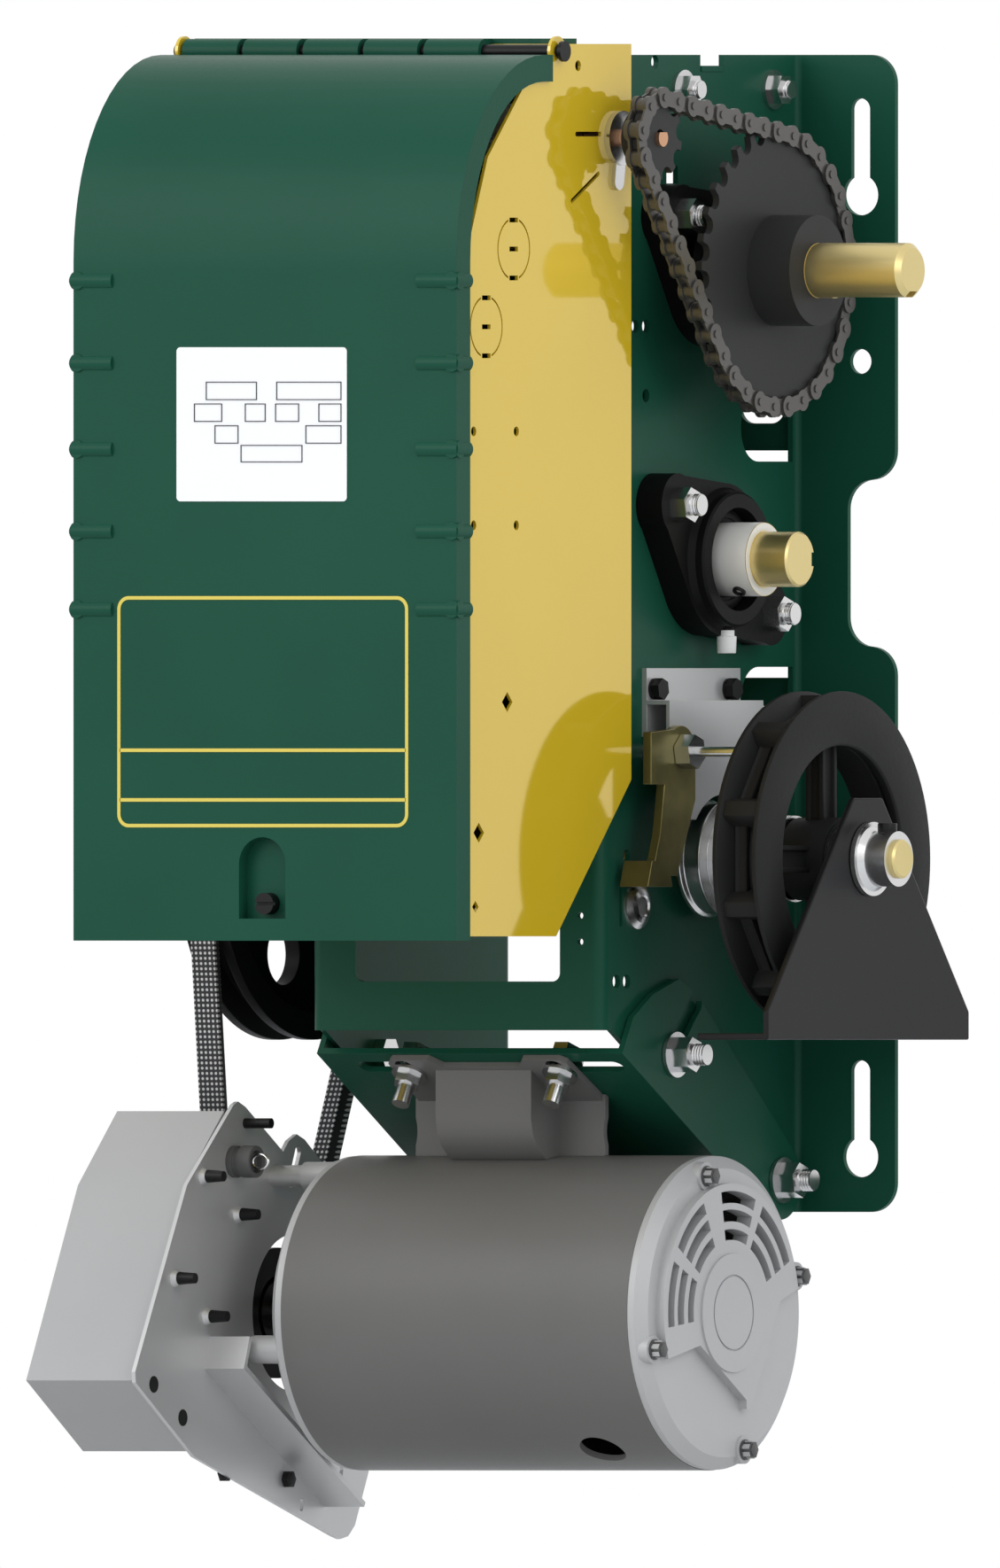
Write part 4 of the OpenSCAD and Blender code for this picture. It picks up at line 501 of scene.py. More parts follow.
def softened(node, soft, flatten=True):
    """A merged, bevelled and smoothly shaded copy of a solid, shown in its place."""
    source = nodes[node]
    piece = bpy.data.objects.new(f"{node}_skin", source.data.copy())
    bpy.context.scene.collection.objects.link(piece)
    edit_all(piece)
    bpy.ops.mesh.remove_doubles(threshold=SAME_POINT)
    if flatten:
        bpy.ops.mesh.dissolve_limited(angle_limit=FLAT_ANGLE)
    done_editing()
    if soft:
        bevelled(piece, soft, 2, SKIN_ANGLE)
    bpy.ops.object.shade_smooth_by_angle(angle=SKIN_ANGLE)
    bpy.ops.object.modifier_add(type="WEIGHTED_NORMAL")
    flats = piece.modifiers[-1]
    flats.weight = 100
    flats.keep_sharp = True
    bpy.ops.object.modifier_apply(modifier=flats.name)
    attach(piece, source["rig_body"])
    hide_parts(node)
    return piece


edges_before = sum(len(nodes[node].data.vertices) for node in SOFT_EDGES)
skins = {node: softened(node, soft) for node, soft in SOFT_EDGES.items()}
# The lid's flats are cut by many ribs, so its triangles stay as they are
skins["cover"] = softened("cover", 0.0006, flatten=False)
print("soft-edged copies:", len(skins), "points before:", edges_before,
      "after:", sum(len(skin.data.vertices) for skin in skins.values()))

# %% [markdown]
# Three shafts and the motor lie along X, so a pair (y, z) places each of them.
# Empties could mark them in the scene, but plain pairs are enough, and every
# piece on a shaft then takes its place from the same pair.

# %% Axes of the shafts
OUTPUT_AXIS = (-0.084, 0.186)
MIDDLE_AXIS = (-0.0885, 0.0535)
INPUT_AXIS = (-0.092, -0.084)
MOTOR_AXIS = (-0.124, -0.2923)
HALF_WIDTH = 0.0785
LEFT, RIGHT, FRONT = Vector((-1, 0, 0)), Vector((1, 0, 0)), Vector((0, -1, 0))
UP, DOWN = Vector((0, 0, 1)), Vector((0, 0, -1))
SIDES = ((RIGHT, "right"), (LEFT, "left"))
BEARINGS = (("output_body", "upper_bearings", OUTPUT_AXIS),
            ("middle_body", "middle_bearings", MIDDLE_AXIS))
BEARING_ENDS = [(body, node, axis, way, label)
                for body, node, axis in BEARINGS for way, label in SIDES]
print("from output to input shaft:", round(OUTPUT_AXIS[1] - INPUT_AXIS[1], 4))

# %% [markdown]
# Each flange bearing grips its shaft with a bright inner ring. Seen from the
# end it is a white tube in a black recess. A boolean could bore a cylinder, but
# it leaves stray points. Here both ends are inset and bridged, which is clean.

# %% Bright inner rings of the bearings
RING_R, SHAFT_R = 0.01695, 0.01272
RING_IN, RING_OUT = HALF_WIDTH + 0.0128, HALF_WIDTH + 0.0354
QUARTER = math.radians(90)


def rod_x(radius, x0, x1, y, z, sides=48):
    """A closed cylinder along X between two places, ready to be shaped."""
    return added(bpy.ops.mesh.primitive_cylinder_add, vertices=sides, radius=radius,
                 depth=abs(x1 - x0), location=((x0 + x1) / 2, y, z),
                 rotation=(0, QUARTER, 0))


def is_end(face):
    return abs(face.normal.x) > SQUARE_ON


def bored(piece, wall):
    """Cuts a cylinder through along X and leaves a wall of the given thickness."""
    faces_where(piece, is_end)
    bpy.ops.mesh.inset(thickness=wall, use_boundary=True)
    bpy.ops.mesh.bridge_edge_loops()
    done_editing()
    return piece


for body, _, axis, way, label in BEARING_ENDS:
    ring = rod_x(RING_R, way.x * RING_IN, way.x * RING_OUT, *axis, 64)
    bored(ring, RING_R - SHAFT_R)
    complete(ring, f"{body}_ring_{label}", body, "zinc", ring_steel, soft=0.0006)
print("bearing rings:", len(BEARING_ENDS))

# %% [markdown]
# A set screw in each ring grips the shaft. It is a short black cylinder with a
# socket for a key. The socket could be cut with a six-sided bit, but at this
# size its top face, inset and pushed in, looks the same.

# %% Set screws of the rings
SCREW_R, SCREW_L, SCREW_RIM, SOCKET_DEPTH = 0.0031, 0.004, 0.0013, 0.0015
SCREW_ANGLE = math.radians(212)
SCREW_X, SCREW_REACH = HALF_WIDTH + 0.0273, RING_R - 0.0008


def pulled(move):
    """Extrudes the selected faces by a vector."""
    bpy.ops.mesh.extrude_region_move(TRANSFORM_OT_translate={"value": tuple(move)})


def swollen(rise):
    """Extrudes the selected faces along their own normals."""
    bpy.ops.mesh.extrude_region_shrink_fatten(TRANSFORM_OT_shrink_fatten={"value": rise})


def stepped(piece, way, *steps):
    """Insets the faces that look one way and raises their middles, by (rim, rise)."""
    faces_to(piece, way)
    for rim, rise in steps:
        bpy.ops.mesh.inset(thickness=rim)
        pulled(way * rise)
    done_editing()
    return piece


for body, _, (axis_y, axis_z), way, label in BEARING_ENDS:
    screw = added(bpy.ops.mesh.primitive_cylinder_add, vertices=24, radius=SCREW_R,
                  depth=SCREW_L)
    stepped(screw, UP, (SCREW_RIM, -SOCKET_DEPTH))
    screw.rotation_euler = (-SCREW_ANGLE, 0, 0)
    screw.location = (way.x * SCREW_X, axis_y + SCREW_REACH * math.sin(SCREW_ANGLE),
                      axis_z + SCREW_REACH * math.cos(SCREW_ANGLE))
    complete(screw, f"{body}_set_screw_{label}", body, "black_steel", soft=0.0003)
print("set screws:", len(BEARING_ENDS))

# %% [markdown]
# Behind the ring sits a rubber seal with one raised lip, the darkest place of
# the bearing. It could be a section spun about the shaft. A bored disc with a
# stepped face gives the same lip in two strokes.

# %% Bearing seals
SEAL_R, SEAL_WALL = 0.0237, 0.0065
SEAL_IN, SEAL_OUT = HALF_WIDTH + 0.0121, HALF_WIDTH + 0.0138
for _, node, axis, way, label in BEARING_ENDS:
    seal = rod_x(SEAL_R, way.x * SEAL_IN, way.x * SEAL_OUT, *axis, 64)
    bored(seal, SEAL_WALL)
    stepped(seal, way, (0.0018, 0.0009))
    complete(seal, f"{node}_seal_{label}", "frame_body", "rubber", seal_rubber)
print("seals:", len(BEARING_ENDS))

# %% [markdown]
# A white plastic cap closes the grease fitting under each bearing. Two cylinders
# would do, but a moulded cap is one piece and tapers. So a stub of a cone is
# added, and the face that looks up is inset and drawn out into its neck.

# %% Grease caps
CAP_X, CAP_DROP = HALF_WIDTH + 0.0149, 0.0392
for _, node, (axis_y, axis_z), way, label in BEARING_ENDS:
    cap = added(bpy.ops.mesh.primitive_cone_add, vertices=32, radius1=0.0043,
                radius2=0.0046, depth=0.0079,
                location=(way.x * CAP_X, axis_y, axis_z - CAP_DROP))
    stepped(cap, UP, (0.0010, 0.0028))
    complete(cap, f"{node}_grease_cap_{label}", "frame_body", "white_plastic")
print("grease caps:", len(BEARING_ENDS))

# %% [markdown]
# Where a bolt comes through its nut, the thread shows. A screw modifier makes a
# true helix, with loose ends. At this size a row of ridges cannot be told from
# it: the end face of a short cylinder is extruded again and again by half a
# pitch, and made larger and smaller in turn.

# %% Threads on the bolt tails
THREAD_PITCH = 0.0014
THREAD_RISE = 1.07
BOLT_R, TOP_BOLT_R = 0.00478, 0.00402


def thread(name, radius, near, far, way, y, z):
    """Ridges of thread round a bolt's tail, between two distances from the middle."""
    x0, x1 = sorted((way.x * near, way.x * far))
    half = THREAD_PITCH / 2
    tail = rod_x(radius, x0, x0 + half, y, z, 24)
    faces_to(tail, RIGHT)
    for turn in range(int((x1 - x0) / half) - 1):
        grow = THREAD_RISE if turn % 2 == 0 else 1 / THREAD_RISE
        pulled(RIGHT * half)
        bpy.ops.transform.resize(value=(1, grow, grow), center_override=(x0, y, z))
    done_editing()
    complete(tail, name, "frame_body", "zinc", soft=0)


flange_bolts = [(axis_y - rise * 0.041, axis_z + rise * 0.025)
                for axis_y, axis_z in (OUTPUT_AXIS, MIDDLE_AXIS) for rise in (1, -1)]
swing_bolts = [(-0.0229, -0.2314), (-0.11686, -0.17382)]
top_bolts = [(-0.1036, 0.269), (-0.0243, 0.269)]
for kind, radius, near, far, places in (
        ("bearing", BOLT_R, 0.1006, 0.1052, flange_bolts),
        ("swing", BOLT_R, 0.0936, 0.1002, swing_bolts),
        ("top", TOP_BOLT_R, 0.0861, 0.0893, top_bolts)):
    for number, (y, z) in enumerate(places, 1):
        for way, label in SIDES:
            thread(f"{kind}_thread_{label}_{number}", radius, near, far, way, y, z)
print("bolts threaded:", len(flange_bolts) + len(swing_bolts) + len(top_bolts), "on each side")

# %% [markdown]
# A yellow outline with two dividers is printed on the lid. A picture of it would
# blur close by, so the ink is a very thin sheet: a plane gets round corners by a
# bevel of its points, an inset makes it a frame, its middle is taken out, and
# the rest gets the ink's thickness.

# %% Printed outline on the cover
RIB_RISE = 0.0018
LID_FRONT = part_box("cover")[0][1] + RIB_RISE
LINE = 0.0016
INK = 0.0003
OUTLINE_X, OUTLINE_Z = (-0.0858, 0.0707), (-0.0695, 0.0366)
CORNER_R = 0.006
DIVIDER_ENDS = LINE * 0.8
DIVIDERS_Z = (-0.0341, -0.0569)


def sheet_at(x0, x1, y, z0, z1):
    """A flat upright sheet between two corners."""
    return added(bpy.ops.mesh.primitive_plane_add, (x1 - x0, z1 - z0, 1), size=1,
                 location=((x0 + x1) / 2, y, (z0 + z1) / 2), rotation=(QUARTER, 0, 0))


def raise_print(sheet):
    """Gives a printed sheet the thickness of its ink, towards the front."""
    edit_all(sheet)
    pulled(FRONT * INK)
    bpy.ops.mesh.select_all(action="SELECT")
    bpy.ops.mesh.normals_make_consistent(inside=False)
    done_editing()


outline = sheet_at(*OUTLINE_X, LID_FRONT, *OUTLINE_Z)
edit_all(outline)
bpy.ops.mesh.select_mode(type="VERT")
bpy.ops.mesh.select_all(action="SELECT")
bpy.ops.mesh.bevel(offset=CORNER_R, segments=8, affect="VERTICES")
bpy.ops.mesh.select_mode(type="FACE")
bpy.ops.mesh.select_all(action="SELECT")
bpy.ops.mesh.inset(thickness=LINE)
bpy.ops.mesh.delete(type="FACE")
done_editing()
raise_print(outline)
complete(outline, "outline_print", "cover_body", "zinc_yellow", print_yellow, soft=0)
for number, z in enumerate(DIVIDERS_Z, 1):
    divider = sheet_at(OUTLINE_X[0] + DIVIDER_ENDS, OUTLINE_X[1] - DIVIDER_ENDS, LID_FRONT,
                       z - LINE / 2, z + LINE / 2)
    edit_all(divider)
    bpy.ops.mesh.subdivide(number_cuts=6)
    done_editing()
    raise_print(divider)
    complete(divider, f"outline_divider_{number}", "cover_body", "zinc_yellow", print_yellow,
             soft=0)
print("printed outline and dividers:", 1 + len(DIVIDERS_Z))

# %% [markdown]
# The sheet behind the pulleys carries a rubber grommet with a rim, a neck and a
# sunken mouth. It could be spun from a section, but shaping one cylinder is
# shorter: the mouth is an inset pushed in, a cut marks the neck and is widened
# by a bevel, and the faces that this makes are drawn inwards.

# %% Grommet of the belt plate
PLATE_FACE = -0.118
GROMMET_R, GROMMET_RISE, NECK_RISE = 0.0074, 0.0126, 0.0040
grommet_y, grommet_z = MOTOR_AXIS[0] - 0.0525, MOTOR_AXIS[1] + 0.0694
grommet = rod_x(GROMMET_R, PLATE_FACE - 0.0005, PLATE_FACE + GROMMET_RISE,
                grommet_y, grommet_z, 32)
stepped(grommet, RIGHT, (0.0022, -0.0035))
edit_all(grommet)
bpy.ops.mesh.bisect(plane_co=(PLATE_FACE + NECK_RISE, 0, 0), plane_no=RIGHT)
bpy.ops.mesh.bevel(offset=0.0012, segments=1)
done_editing()
faces_where(grommet, lambda face: abs(face.normal.x) < 0.2 and abs(
    face.calc_center_median().x - PLATE_FACE - NECK_RISE) < 0.0002)
swollen(-0.0010)
done_editing()
complete(grommet, "lead_grommet", "motor_body", "grey_paint", grommet_rubber, soft=0.0007,
         steps=3)
print("grommet faces:", len(grommet.data.polygons))

# %% [markdown]
# A bent wire clip stands over the grommet, and a dome is pressed into the sheet
# below. The wire could be a curve with thickness, but a stretched torus is
# already an even loop. The dome is a sphere, cut in half and flattened.

# %% Clip and dome
CLIP_PLACE = (PLATE_FACE + 0.0142, grommet_y, grommet_z)
clip = added(bpy.ops.mesh.primitive_torus_add, major_radius=0.0033, minor_radius=0.0007,
             major_segments=32, minor_segments=10, location=CLIP_PLACE,
             rotation=(QUARTER, 0, 0))
edit_all(clip)
bpy.ops.transform.resize(value=(1.25, 1, 1), center_override=CLIP_PLACE)
done_editing()
complete(clip, "grommet_clip", "motor_body", "zinc", soft=0)

DOME_R, DOME_RISE = 0.0062, 0.0058
DOME_PLACE = (PLATE_FACE, MOTOR_AXIS[0] + 0.0081, MOTOR_AXIS[1] - 0.066)
dome = added(bpy.ops.mesh.primitive_uv_sphere_add, segments=32, ring_count=16, radius=DOME_R,
             location=DOME_PLACE, rotation=(0, QUARTER, 0))
edit_all(dome)
bpy.ops.mesh.bisect(plane_co=(PLATE_FACE - 0.0002, *DOME_PLACE[1:]), plane_no=RIGHT,
                    clear_inner=True, use_fill=True)
bpy.ops.mesh.select_all(action="SELECT")
bpy.ops.transform.resize(value=(DOME_RISE / DOME_R, 1, 1), center_override=DOME_PLACE)
done_editing()
complete(dome, "plate_dome", "motor_body", "zinc", soft=0)
print("belt plate fittings:", 3)

# %% [markdown]
# Two small black hexagon screws sit low on the belt plate, one on its rear face
# with the lower part of its head below the edge. A head could be cut from a
# disc. A cylinder with six sides is one already, and its crown is the end face,
# inset and raised.

# %% Hexagon screws on the belt plate
PLATE_REAR = PLATE_FACE - 0.0020
HEX_R, HEX_H = 0.0042, 0.0032
HEX_PLACES = ((LEFT, PLATE_REAR, -0.0544, -0.0735), (RIGHT, PLATE_FACE, -0.0067, -0.0763))
for number, (way, face_x, dy, dz) in enumerate(HEX_PLACES, 1):
    head = rod_x(HEX_R, face_x + way.x * 0.0001, face_x + way.x * HEX_H,
                 MOTOR_AXIS[0] + dy, MOTOR_AXIS[1] + dz, 6)
    stepped(head, way, (0.0008, 0.0005))
    complete(head, f"guard_hex_{number}", "motor_body", "black_steel", soft=0.0002)
print("hexagon screws:", len(HEX_PLACES))

# %% [markdown]
# The hand-chain wheel is a casting with two discs and ten lugs between them that
# drive the chain. One section for each disc is drawn as a thin loop and spun
# about the axis. A modifier could do it too, but a spin leaves real faces.

# %% Discs and hub of the chain wheel
WHEEL_MIDDLE = (0.1465, *INPUT_AXIS)
WHEEL_HALF = 0.0117
far_x, near_x = WHEEL_MIDDLE[0] - WHEEL_HALF, WHEEL_MIDDLE[0] + WHEEL_HALF
HUB_R, HUB_WALL = 0.0190, 0.0190 - 0.01545


def spun(section, sides=96):
    """Spins a closed section of (radius, x) points about the wheel's axis."""
    ring = added(bpy.ops.mesh.primitive_circle_add, vertices=len(section), radius=0.01,
                 fill_type="NOTHING")
    for point, (radius, x) in zip(ring.data.vertices, section):
        point.co = (x, WHEEL_MIDDLE[1] - radius, WHEEL_MIDDLE[2])
    edit_all(ring)
    bpy.ops.mesh.spin(steps=sides, angle=math.tau, center=WHEEL_MIDDLE, axis=RIGHT)
    bpy.ops.mesh.select_all(action="SELECT")
    bpy.ops.mesh.remove_doubles(threshold=0.00001)
    bpy.ops.mesh.normals_make_consistent(inside=False)
    done_editing()
    return ring


far_disc = spun([(0.0530, far_x), (0.0769, far_x), (0.0769, far_x + 0.0024),
                 (0.0672, far_x + 0.0058), (0.0650, far_x + 0.0072),
                 (0.0650, near_x - 0.0062), (0.0630, near_x - 0.0056),
                 (0.0555, near_x - 0.0056), (0.0530, near_x - 0.0070)])
near_disc = spun([(0.0520, near_x - 0.0010), (0.0530, near_x), (0.0769, near_x),
                  (0.0769, near_x - 0.0022), (0.0705, near_x - 0.0032),
                  (0.0560, near_x - 0.0032), (0.0530, near_x - 0.0044),
                  (0.0520, near_x - 0.0044)])
hub = bored(rod_x(HUB_R, far_x, near_x, *INPUT_AXIS, 64), HUB_WALL)
faces_where(hub, is_end)
bpy.ops.mesh.inset(thickness=0.0009)
swollen(-0.0006)
done_editing()
print("faces of discs and hub:", sum(len(p.data.polygons) for p in (far_disc, near_disc, hub)))

# %% [markdown]
# Lugs, the raised bed of every pocket and the ribbed spokes repeat round the
# wheel. An array modifier would keep them linked, but each copy needs a mesh of
# its own in the end. So each is shaped once, at the front of the wheel, and
# turned copies complete the round.

# %% Lugs, beds and spokes
LUGS, SPOKES = 10, 4
axis_y, axis_z = INPUT_AXIS


def block_at(x0, x1, y0, y1, z0, z1):
    """A box between two corners, ready to be shaped."""
    return added(bpy.ops.mesh.primitive_cube_add, (x1 - x0, y1 - y0, z1 - z0), size=1,
                 location=((x0 + x1) / 2, (y0 + y1) / 2, (z0 + z1) / 2))


def twin_of(piece):
    """A copy of a piece with its own mesh."""
    only(piece)
    bpy.ops.object.duplicate()
    return bpy.context.object


def joined(pieces):
    """Joins pieces into the first of them."""
    only(pieces[0])
    for piece in pieces:
        piece.select_set(True)
    bpy.ops.object.join()
    return pieces[0]


def turned_copies(piece, count):
    """Copies a piece round the wheel's axis, each with its own mesh."""
    made = [piece]
    for step in range(1, count):
        twin = twin_of(piece)
        edit_all(twin)
        bpy.ops.transform.rotate(value=math.tau * step / count, orient_axis="X",
                                 center_override=WHEEL_MIDDLE)
        done_editing()
        made.append(twin)
    return made


lug = block_at(far_x + 0.0016, near_x - 0.0016, axis_y - 0.0700, axis_y - 0.0600,
               axis_z - 0.0064, axis_z + 0.0064)
faces_to(lug, FRONT)
pulled(FRONT * 0.0052)
bpy.ops.transform.resize(value=(1, 1, 0.55), center_override=(0, axis_y, axis_z))
bpy.ops.mesh.select_all(action="SELECT")
# A pocket faces the front, and a lug stands on each side of it
bpy.ops.transform.rotate(value=math.pi / LUGS, orient_axis="X", center_override=WHEEL_MIDDLE)
done_editing()

bed = block_at(far_x + 0.0066, far_x + 0.0128, axis_y - 0.0674, axis_y - 0.0640,
               axis_z - 0.0160, axis_z + 0.0160)
faces_to(bed, FRONT)
bpy.ops.mesh.inset(thickness=0.0012)
bpy.ops.transform.translate(value=-FRONT * 0.0010)
done_editing()

spoke = block_at(far_x + 0.0070, far_x + 0.0164, axis_y - 0.0545, axis_y - 0.0160,
                 axis_z - 0.0062, axis_z + 0.0062)
faces_where(spoke, lambda face: abs(face.normal.y) < 0.1)
bpy.ops.mesh.inset(thickness=0.0022, use_individual=True)
swollen(-0.0022)
done_editing()

wheel = joined([far_disc, near_disc, hub, *turned_copies(lug, LUGS),
                *turned_copies(bed, LUGS), *turned_copies(spoke, SPOKES)])
complete(wheel, "hand_wheel_casting", "hand_wheel_body", "black_cast", wheel_black, soft=0.0006)
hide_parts("hand_wheel")
print("chain wheel faces:", len(wheel.data.polygons))

# %% [markdown]
# Four through bolts hold the motor's end bells, each with a hexagon head on a
# washer. Head and washer could be one spun section, but a hexagon isn't round.
# Two cylinders, one of them with six sides, are stepped and joined.

# %% Bell screws
BELL_FACE = 0.11461
TIE_RADIUS = 0.065
TIE_ANGLES = (15, 105, 195, 285)
HEAD_H, ACROSS, WASHER = 0.0050, 0.0072, 0.0008
for number, angle in enumerate(TIE_ANGLES, 1):
    turn = math.radians(angle)
    y = MOTOR_AXIS[0] + TIE_RADIUS * math.cos(turn)
    z = MOTOR_AXIS[1] + TIE_RADIUS * math.sin(turn)
    head = rod_x(ACROSS / 2 / math.cos(math.pi / 6), BELL_FACE + WASHER * 0.5,
                 BELL_FACE + HEAD_H, y, z, 6)
    stepped(head, RIGHT, (ACROSS * 0.10, HEAD_H * 0.10))
    disc = rod_x(ACROSS * 0.66, BELL_FACE, BELL_FACE + WASHER, y, z, 32)
    stepped(disc, RIGHT, (ACROSS * 0.06, WASHER * 0.2))
    complete(joined([head, disc]), f"bell_screw_{number}", "motor_body", "zinc", screw_steel,
             soft=0.0002)
print("bell screws:", len(TIE_ANGLES))

# %% [markdown]
# The white plate on the lid carries a printed form of nine empty boxes. Each is
# a thin sheet whose middle is taken out, for the same reason as the yellow
# outline. The plate's own front is moved back by the thickness of the ink, so
# that nothing stands proud.

# %% Empty boxes on the white plate
PLATE_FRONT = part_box("cover_plate")[0][1] + INK
FORM_LINE = 0.0004
FORM_BOXES = (
    (-0.0379, -0.0105, 0.1266, 0.1350), (0.0000, 0.0350, 0.1266, 0.1350),
    (-0.0443, -0.0292, 0.1166, 0.1250), (-0.0169, -0.0058, 0.1166, 0.1250),
    (-0.0006, 0.0122, 0.1166, 0.1250), (0.0227, 0.0350, 0.1166, 0.1250),
    (-0.0332, -0.0204, 0.1066, 0.1150), (0.0157, 0.0350, 0.1066, 0.1150),
    (-0.0192, 0.0140, 0.0980, 0.1060),
)
label = softened("cover_plate", 0)
dress(label, label_white)
faces_to(label, FRONT)
bpy.ops.transform.translate(value=-FRONT * INK)
done_editing()
boxes = []
for x0, x1, z0, z1 in FORM_BOXES:
    box = sheet_at(x0, x1, PLATE_FRONT, z0, z1)
    edit_all(box)
    bpy.ops.mesh.inset(thickness=FORM_LINE)
    bpy.ops.mesh.delete(type="FACE")
    done_editing()
    raise_print(box)
    boxes.append(box)
complete(joined(boxes), "plate_form", "cover_body", "black_plastic", print_grey, soft=0)
print("boxes on the plate:", len(FORM_BOXES))

# %% [markdown]
# Under the lid sit a circuit board, a transformer, two contactors and a strip of
# terminals, and the board carries relays and clamps. They could be placed one by
# one. Modelling one and copying it along its row keeps the spacing even.

# %% Relays and clamps on the board
BOX_BACK = -0.1756
RELAY_PITCH, RELAYS = 0.025, 4
CLAMP_PITCH, CLAMPS = 0.0096, 12


def row_of(piece, step_x, step_z, count):
    """Copies a piece along a row and joins the row."""
    row = [piece]
    for number in range(1, count):
        twin = twin_of(piece)
        twin.location = (step_x * number, 0, step_z * number)
        row.append(settled(twin))
    return joined(row)


relay = block_at(-0.0604, -0.0416, BOX_BACK - 0.0266, BOX_BACK - 0.0121, 0.1497, 0.1723)
stepped(relay, FRONT, (0.0016, 0.0008), (0.0030, -0.0005))
row_of(relay, RELAY_PITCH, 0, RELAYS)
complete(relay, "relay_cases", "frame_body", "black_plastic")

clamp = block_at(-0.0753, -0.0657, BOX_BACK - 0.0244, BOX_BACK - 0.0119, 0.0996, 0.1124)
stepped(clamp, FRONT, (0.0022, -0.0014))
stepped(clamp, DOWN, (0.0026, -0.0002))
row_of(clamp, CLAMP_PITCH, 0, CLAMPS)
complete(clamp, "board_terminals", "frame_body", "board_green", terminal_green, soft=0.0003)
print("relays and clamps:", RELAYS + CLAMPS)

# %% [markdown]
# A small screw with a driver slot closes every clamp of the board and of the
# terminal strip. A boolean would cut each slot, at a high cost in points. Here
# the front is inset, its middle is squeezed to a slot, and pushed in.

# %% Terminal screws
STRIP_PITCH, STRIP_SCREWS = 0.012, 11


def slotted_screw(radius, y_back, y_front, x, z):
    """A small screw head along Y with a driver slot pressed into it."""
    head = added(bpy.ops.mesh.primitive_cylinder_add, vertices=20, radius=radius,
                 depth=y_back - y_front, location=(x, (y_back + y_front) / 2, z),
                 rotation=(QUARTER, 0, 0))
    faces_to(head, FRONT)
    bpy.ops.mesh.inset(thickness=radius * 0.25)
    bpy.ops.transform.resize(value=(0.3, 1, 1), center_override=(x, y_front, z))
    pulled(-FRONT * radius * 0.3)
    done_editing()
    return head


board_screws = row_of(slotted_screw(0.0024, BOX_BACK - 0.0226, BOX_BACK - 0.0240,
                                    -0.0705, 0.106), CLAMP_PITCH, 0, CLAMPS)
strip_screws = row_of(slotted_screw(0.0027, BOX_BACK - 0.0155, BOX_BACK - 0.0172,
                                    0.067, 0.064), 0, STRIP_PITCH, STRIP_SCREWS)
complete(joined([board_screws, strip_screws]), "terminal_screws", "frame_body", "zinc", soft=0)
print("terminal screws:", CLAMPS + STRIP_SCREWS)

# %% [markdown]
# The transformer's coil is wrapped in tape, so it is soft at its edges: a block
# with a wide bevel does that, where a subdivided one would lose its flats. Each
# contactor has a sunken front with a raised button, one face that is inset and
# extruded twice, and three screws above and below.

# %% Coil and contactor fronts
CONTACTOR_PITCH, POLE_PITCH, POLES = 0.048, 0.012, 3
POLE_SCREW_R = 0.0034
coil = block_at(-0.0806, -0.0434, BOX_BACK - 0.0566, BOX_BACK - 0.0446, -0.0166, 0.0146)
stepped(coil, FRONT, (0.0040, 0.0014))
complete(coil, "coil_tape", "frame_body", "white_plastic", coil_tape, soft=0.0022, steps=4)

front = block_at(-0.0143, 0.0163, BOX_BACK - 0.0606, BOX_BACK - 0.0496, -0.0243, 0.0083)
stepped(front, FRONT, (0.0050, -0.0024), (0.0040, 0.0040))
row_of(front, CONTACTOR_PITCH, 0, 2)
complete(front, "contactor_fronts", "frame_body", "black_plastic", soft=0.0006)
pole_screws = [row_of(slotted_screw(POLE_SCREW_R, BOX_BACK - 0.0495, BOX_BACK - 0.0514, x, z),
                      POLE_PITCH, 0, POLES)
               for x in (-0.011, 0.037) for z in (-0.031, 0.014)]
complete(joined(pole_screws), "pole_screws", "frame_body", "zinc", soft=0)
print("pole screws:", len(pole_screws) * POLES)

# %% [markdown]
# The collar that holds the chain guide is clamped by one black socket screw. Its
# head stands over the stud of the solid collar and points up at rest. It is
# stepped like the set screws, for the same reason.

# %% Clamp screw of the collar
CLAMP_SCREW_X, CLAMP_SCREW_RISE = 0.1821, 0.0142
clamp_head = added(bpy.ops.mesh.primitive_cylinder_add, vertices=32, radius=0.0045,
                   depth=0.0044,
                   location=(CLAMP_SCREW_X, INPUT_AXIS[0], INPUT_AXIS[1] + CLAMP_SCREW_RISE))
stepped(clamp_head, UP, (0.0021, -0.0018))
complete(clamp_head, "collar_clamp_screw", "input_body", "black_steel")
print("clamp screw faces:", len(clamp_head.data.polygons))

# %% [markdown]
# Two roller chains inside the frame drive one shaft from the next. Their solids
# are smooth bands, and from behind they need links. A curve could carry these,
# but a chain holds a whole, even number of them, so the places of the pins are
# counted off along two straights and two arcs.

# %% The path of a chain
CHAIN_PITCH = 0.0127


def wheel_radius(teeth):
    return CHAIN_PITCH / 2 / math.sin(math.pi / teeth)


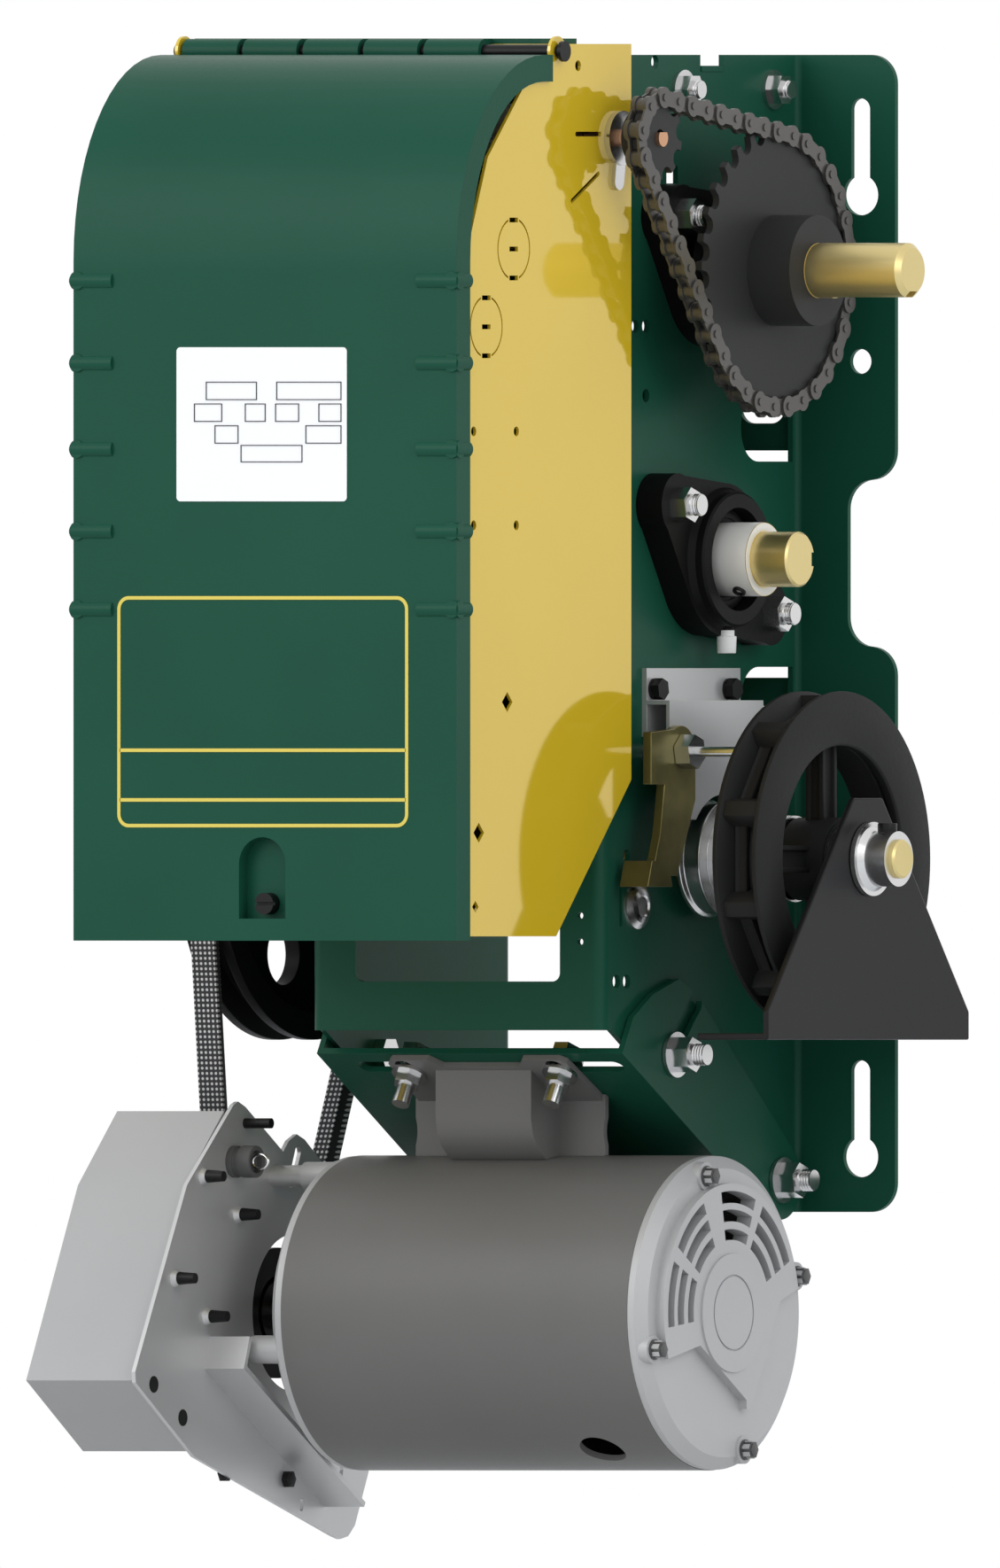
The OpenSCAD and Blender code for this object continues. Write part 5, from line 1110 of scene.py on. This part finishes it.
def loop_points(first, r1, second, r2):
    """Even points along a belt path round two circles in the (y, z) plane."""
    span = Vector(second) - Vector(first)
    lean = math.asin((r1 - r2) / span.length)
    heading = math.atan2(span.y, span.x)
    straight = span.length * math.cos(lean)
    wrap1, wrap2 = math.pi + 2 * lean, math.pi - 2 * lean
    length = 2 * straight + r1 * wrap1 + r2 * wrap2
    count = 2 * round(length / CHAIN_PITCH / 2)

    def on_circle(centre, radius, angle):
        return Vector(centre) + radius * Vector((math.cos(angle), math.sin(angle)))

    leave, enter = heading + math.pi / 2 - lean, heading - math.pi / 2 + lean
    out1, out2 = on_circle(first, r1, leave), on_circle(second, r2, leave)
    back1, back2 = on_circle(first, r1, enter), on_circle(second, r2, enter)
    legs = ((straight, lambda way: out1.lerp(out2, way / straight)),
            (r2 * wrap2, lambda way: on_circle(second, r2, leave - way / r2)),
            (straight, lambda way: back2.lerp(back1, way / straight)),
            (r1 * wrap1, lambda way: on_circle(first, r1, enter - way / r1)))
    points = []
    for number in range(count):
        way = length * number / count
        for leg, place in legs:
            if way < leg:
                points.append(place(way))
                break
            way -= leg
    return points


print("radius of a wheel with ten teeth:", round(wheel_radius(10), 5))

# %% [markdown]
# One link is two plates with their pins, and rollers between every second pair.
# A plate could be two rings and a bar. Pulling the upper half of one cylinder up
# by a pitch makes the same outline in one piece. Links are made at the origin,
# and copies are laid from point to point.

# %% Links of the drive chains
PLATE_R, PLATE_T = 0.0048, 0.0012
OUTER_GAP, INNER_GAP = 0.0053, 0.0039
RIVET_R, RIVET_SUNK, RIVET_RISE = 0.0019, 0.0002, 0.0008
ROLLER_R, ROLLER_PLAY = 0.0038, 0.0001


def chain_plate(x0, x1):
    """One link plate, from a pin at the origin to a pin one pitch above it."""
    plate = rod_x(PLATE_R, x0, x1, 0, 0, 16)
    only(plate)
    bpy.ops.object.mode_set(mode="EDIT")
    bpy.ops.mesh.select_mode(type="VERT")
    bpy.ops.mesh.select_all(action="DESELECT")
    mesh = bmesh.from_edit_mesh(plate.data)
    for point in mesh.verts:
        point.select_set(point.co.z > 0.0001)
    mesh.select_flush_mode()
    bmesh.update_edit_mesh(plate.data)
    bpy.ops.transform.translate(value=UP * CHAIN_PITCH)
    done_editing()
    return plate


def chain_link(x, gap, with_rivets=False, with_rollers=False):
    """A pair of plates at both sides of x, with the pins that they carry."""
    face = gap + PLATE_T
    parts = [chain_plate(x + gap, x + face), chain_plate(x - face, x - gap)]
    for z in (0, CHAIN_PITCH):
        if with_rivets:
            parts.append(rod_x(RIVET_R, x + face - RIVET_SUNK, x + face + RIVET_RISE, 0, z, 10))
            parts.append(rod_x(RIVET_R, x - face - RIVET_RISE, x - face + RIVET_SUNK, 0, z, 10))
        if with_rollers:
            parts.append(rod_x(ROLLER_R, x - gap + ROLLER_PLAY, x + gap - ROLLER_PLAY, 0, z, 14))
    return joined(parts)


def laid(link, start, end):
    """A copy of a link between two points of the path."""
    twin = twin_of(link)
    way = end - start
    twin.rotation_euler = (math.atan2(-way.x, way.y), 0, 0)
    twin.location = (0, start.x, start.y)
    return settled(twin)


print("width of an outer link:", round(2 * (OUTER_GAP + PLATE_T + RIVET_RISE), 4))

# %% [markdown]
# A roller would stand inside a tooth where the chain lies on a wheel, and there
# nobody sees it. Cutting the wheels' teeth to fit would be the other way. So
# links near a wheel go without rollers, and the free stretches have them.

# %% Drive chains
CHAINS = (("upper_drive_chain", -0.008, OUTPUT_AXIS, 30, MIDDLE_AXIS, 10),
          ("lower_drive_chain", 0.034, MIDDLE_AXIS, 32, INPUT_AXIS, 10))
WHEEL_CLEAR = 0.010
for node, x, first, teeth1, second, teeth2 in CHAINS:
    r1, r2 = wheel_radius(teeth1), wheel_radius(teeth2)
    points = loop_points(first, r1, second, r2)
    outer = chain_link(x, OUTER_GAP, with_rivets=True)
    inner = chain_link(x, INNER_GAP)
    rolling = chain_link(x, INNER_GAP, with_rollers=True)
    links = []
    for number, start in enumerate(points):
        end = points[(number + 1) % len(points)]
        free = all((point - Vector(centre)).length > radius + WHEEL_CLEAR
                   for point in (start, end) for centre, radius in ((first, r1), (second, r2)))
        links.append(laid(outer if number % 2 else rolling if free else inner, start, end))
    for pattern in (outer, inner, rolling):
        bpy.data.objects.remove(pattern)
    chain = complete(joined(links), f"{node}_links", nodes[node]["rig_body"], "chain_steel", soft=0)
    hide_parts(node)
    print(node, "links:", len(points), "faces:", len(chain.data.polygons))

# %% [markdown]
# The belt runs from the big pulley, which stays with the frame, to the motor's
# pulley, which swings with its plate. Riding on one, it would leave the other.
# Here its copy is only taken off its body, and its place is baked into its points.

# %% The belt is taken off its body
only(skins["v_belt"])
bpy.ops.object.parent_clear(type="CLEAR")
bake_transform(skins["v_belt"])
print("belt points:", len(skins["v_belt"].data.vertices))

# %% [markdown]
# The dressed machine must be no bigger than its solids. Both boxes could be
# compared by eye in the window.

# %% Sizes: the json module is imported
import json
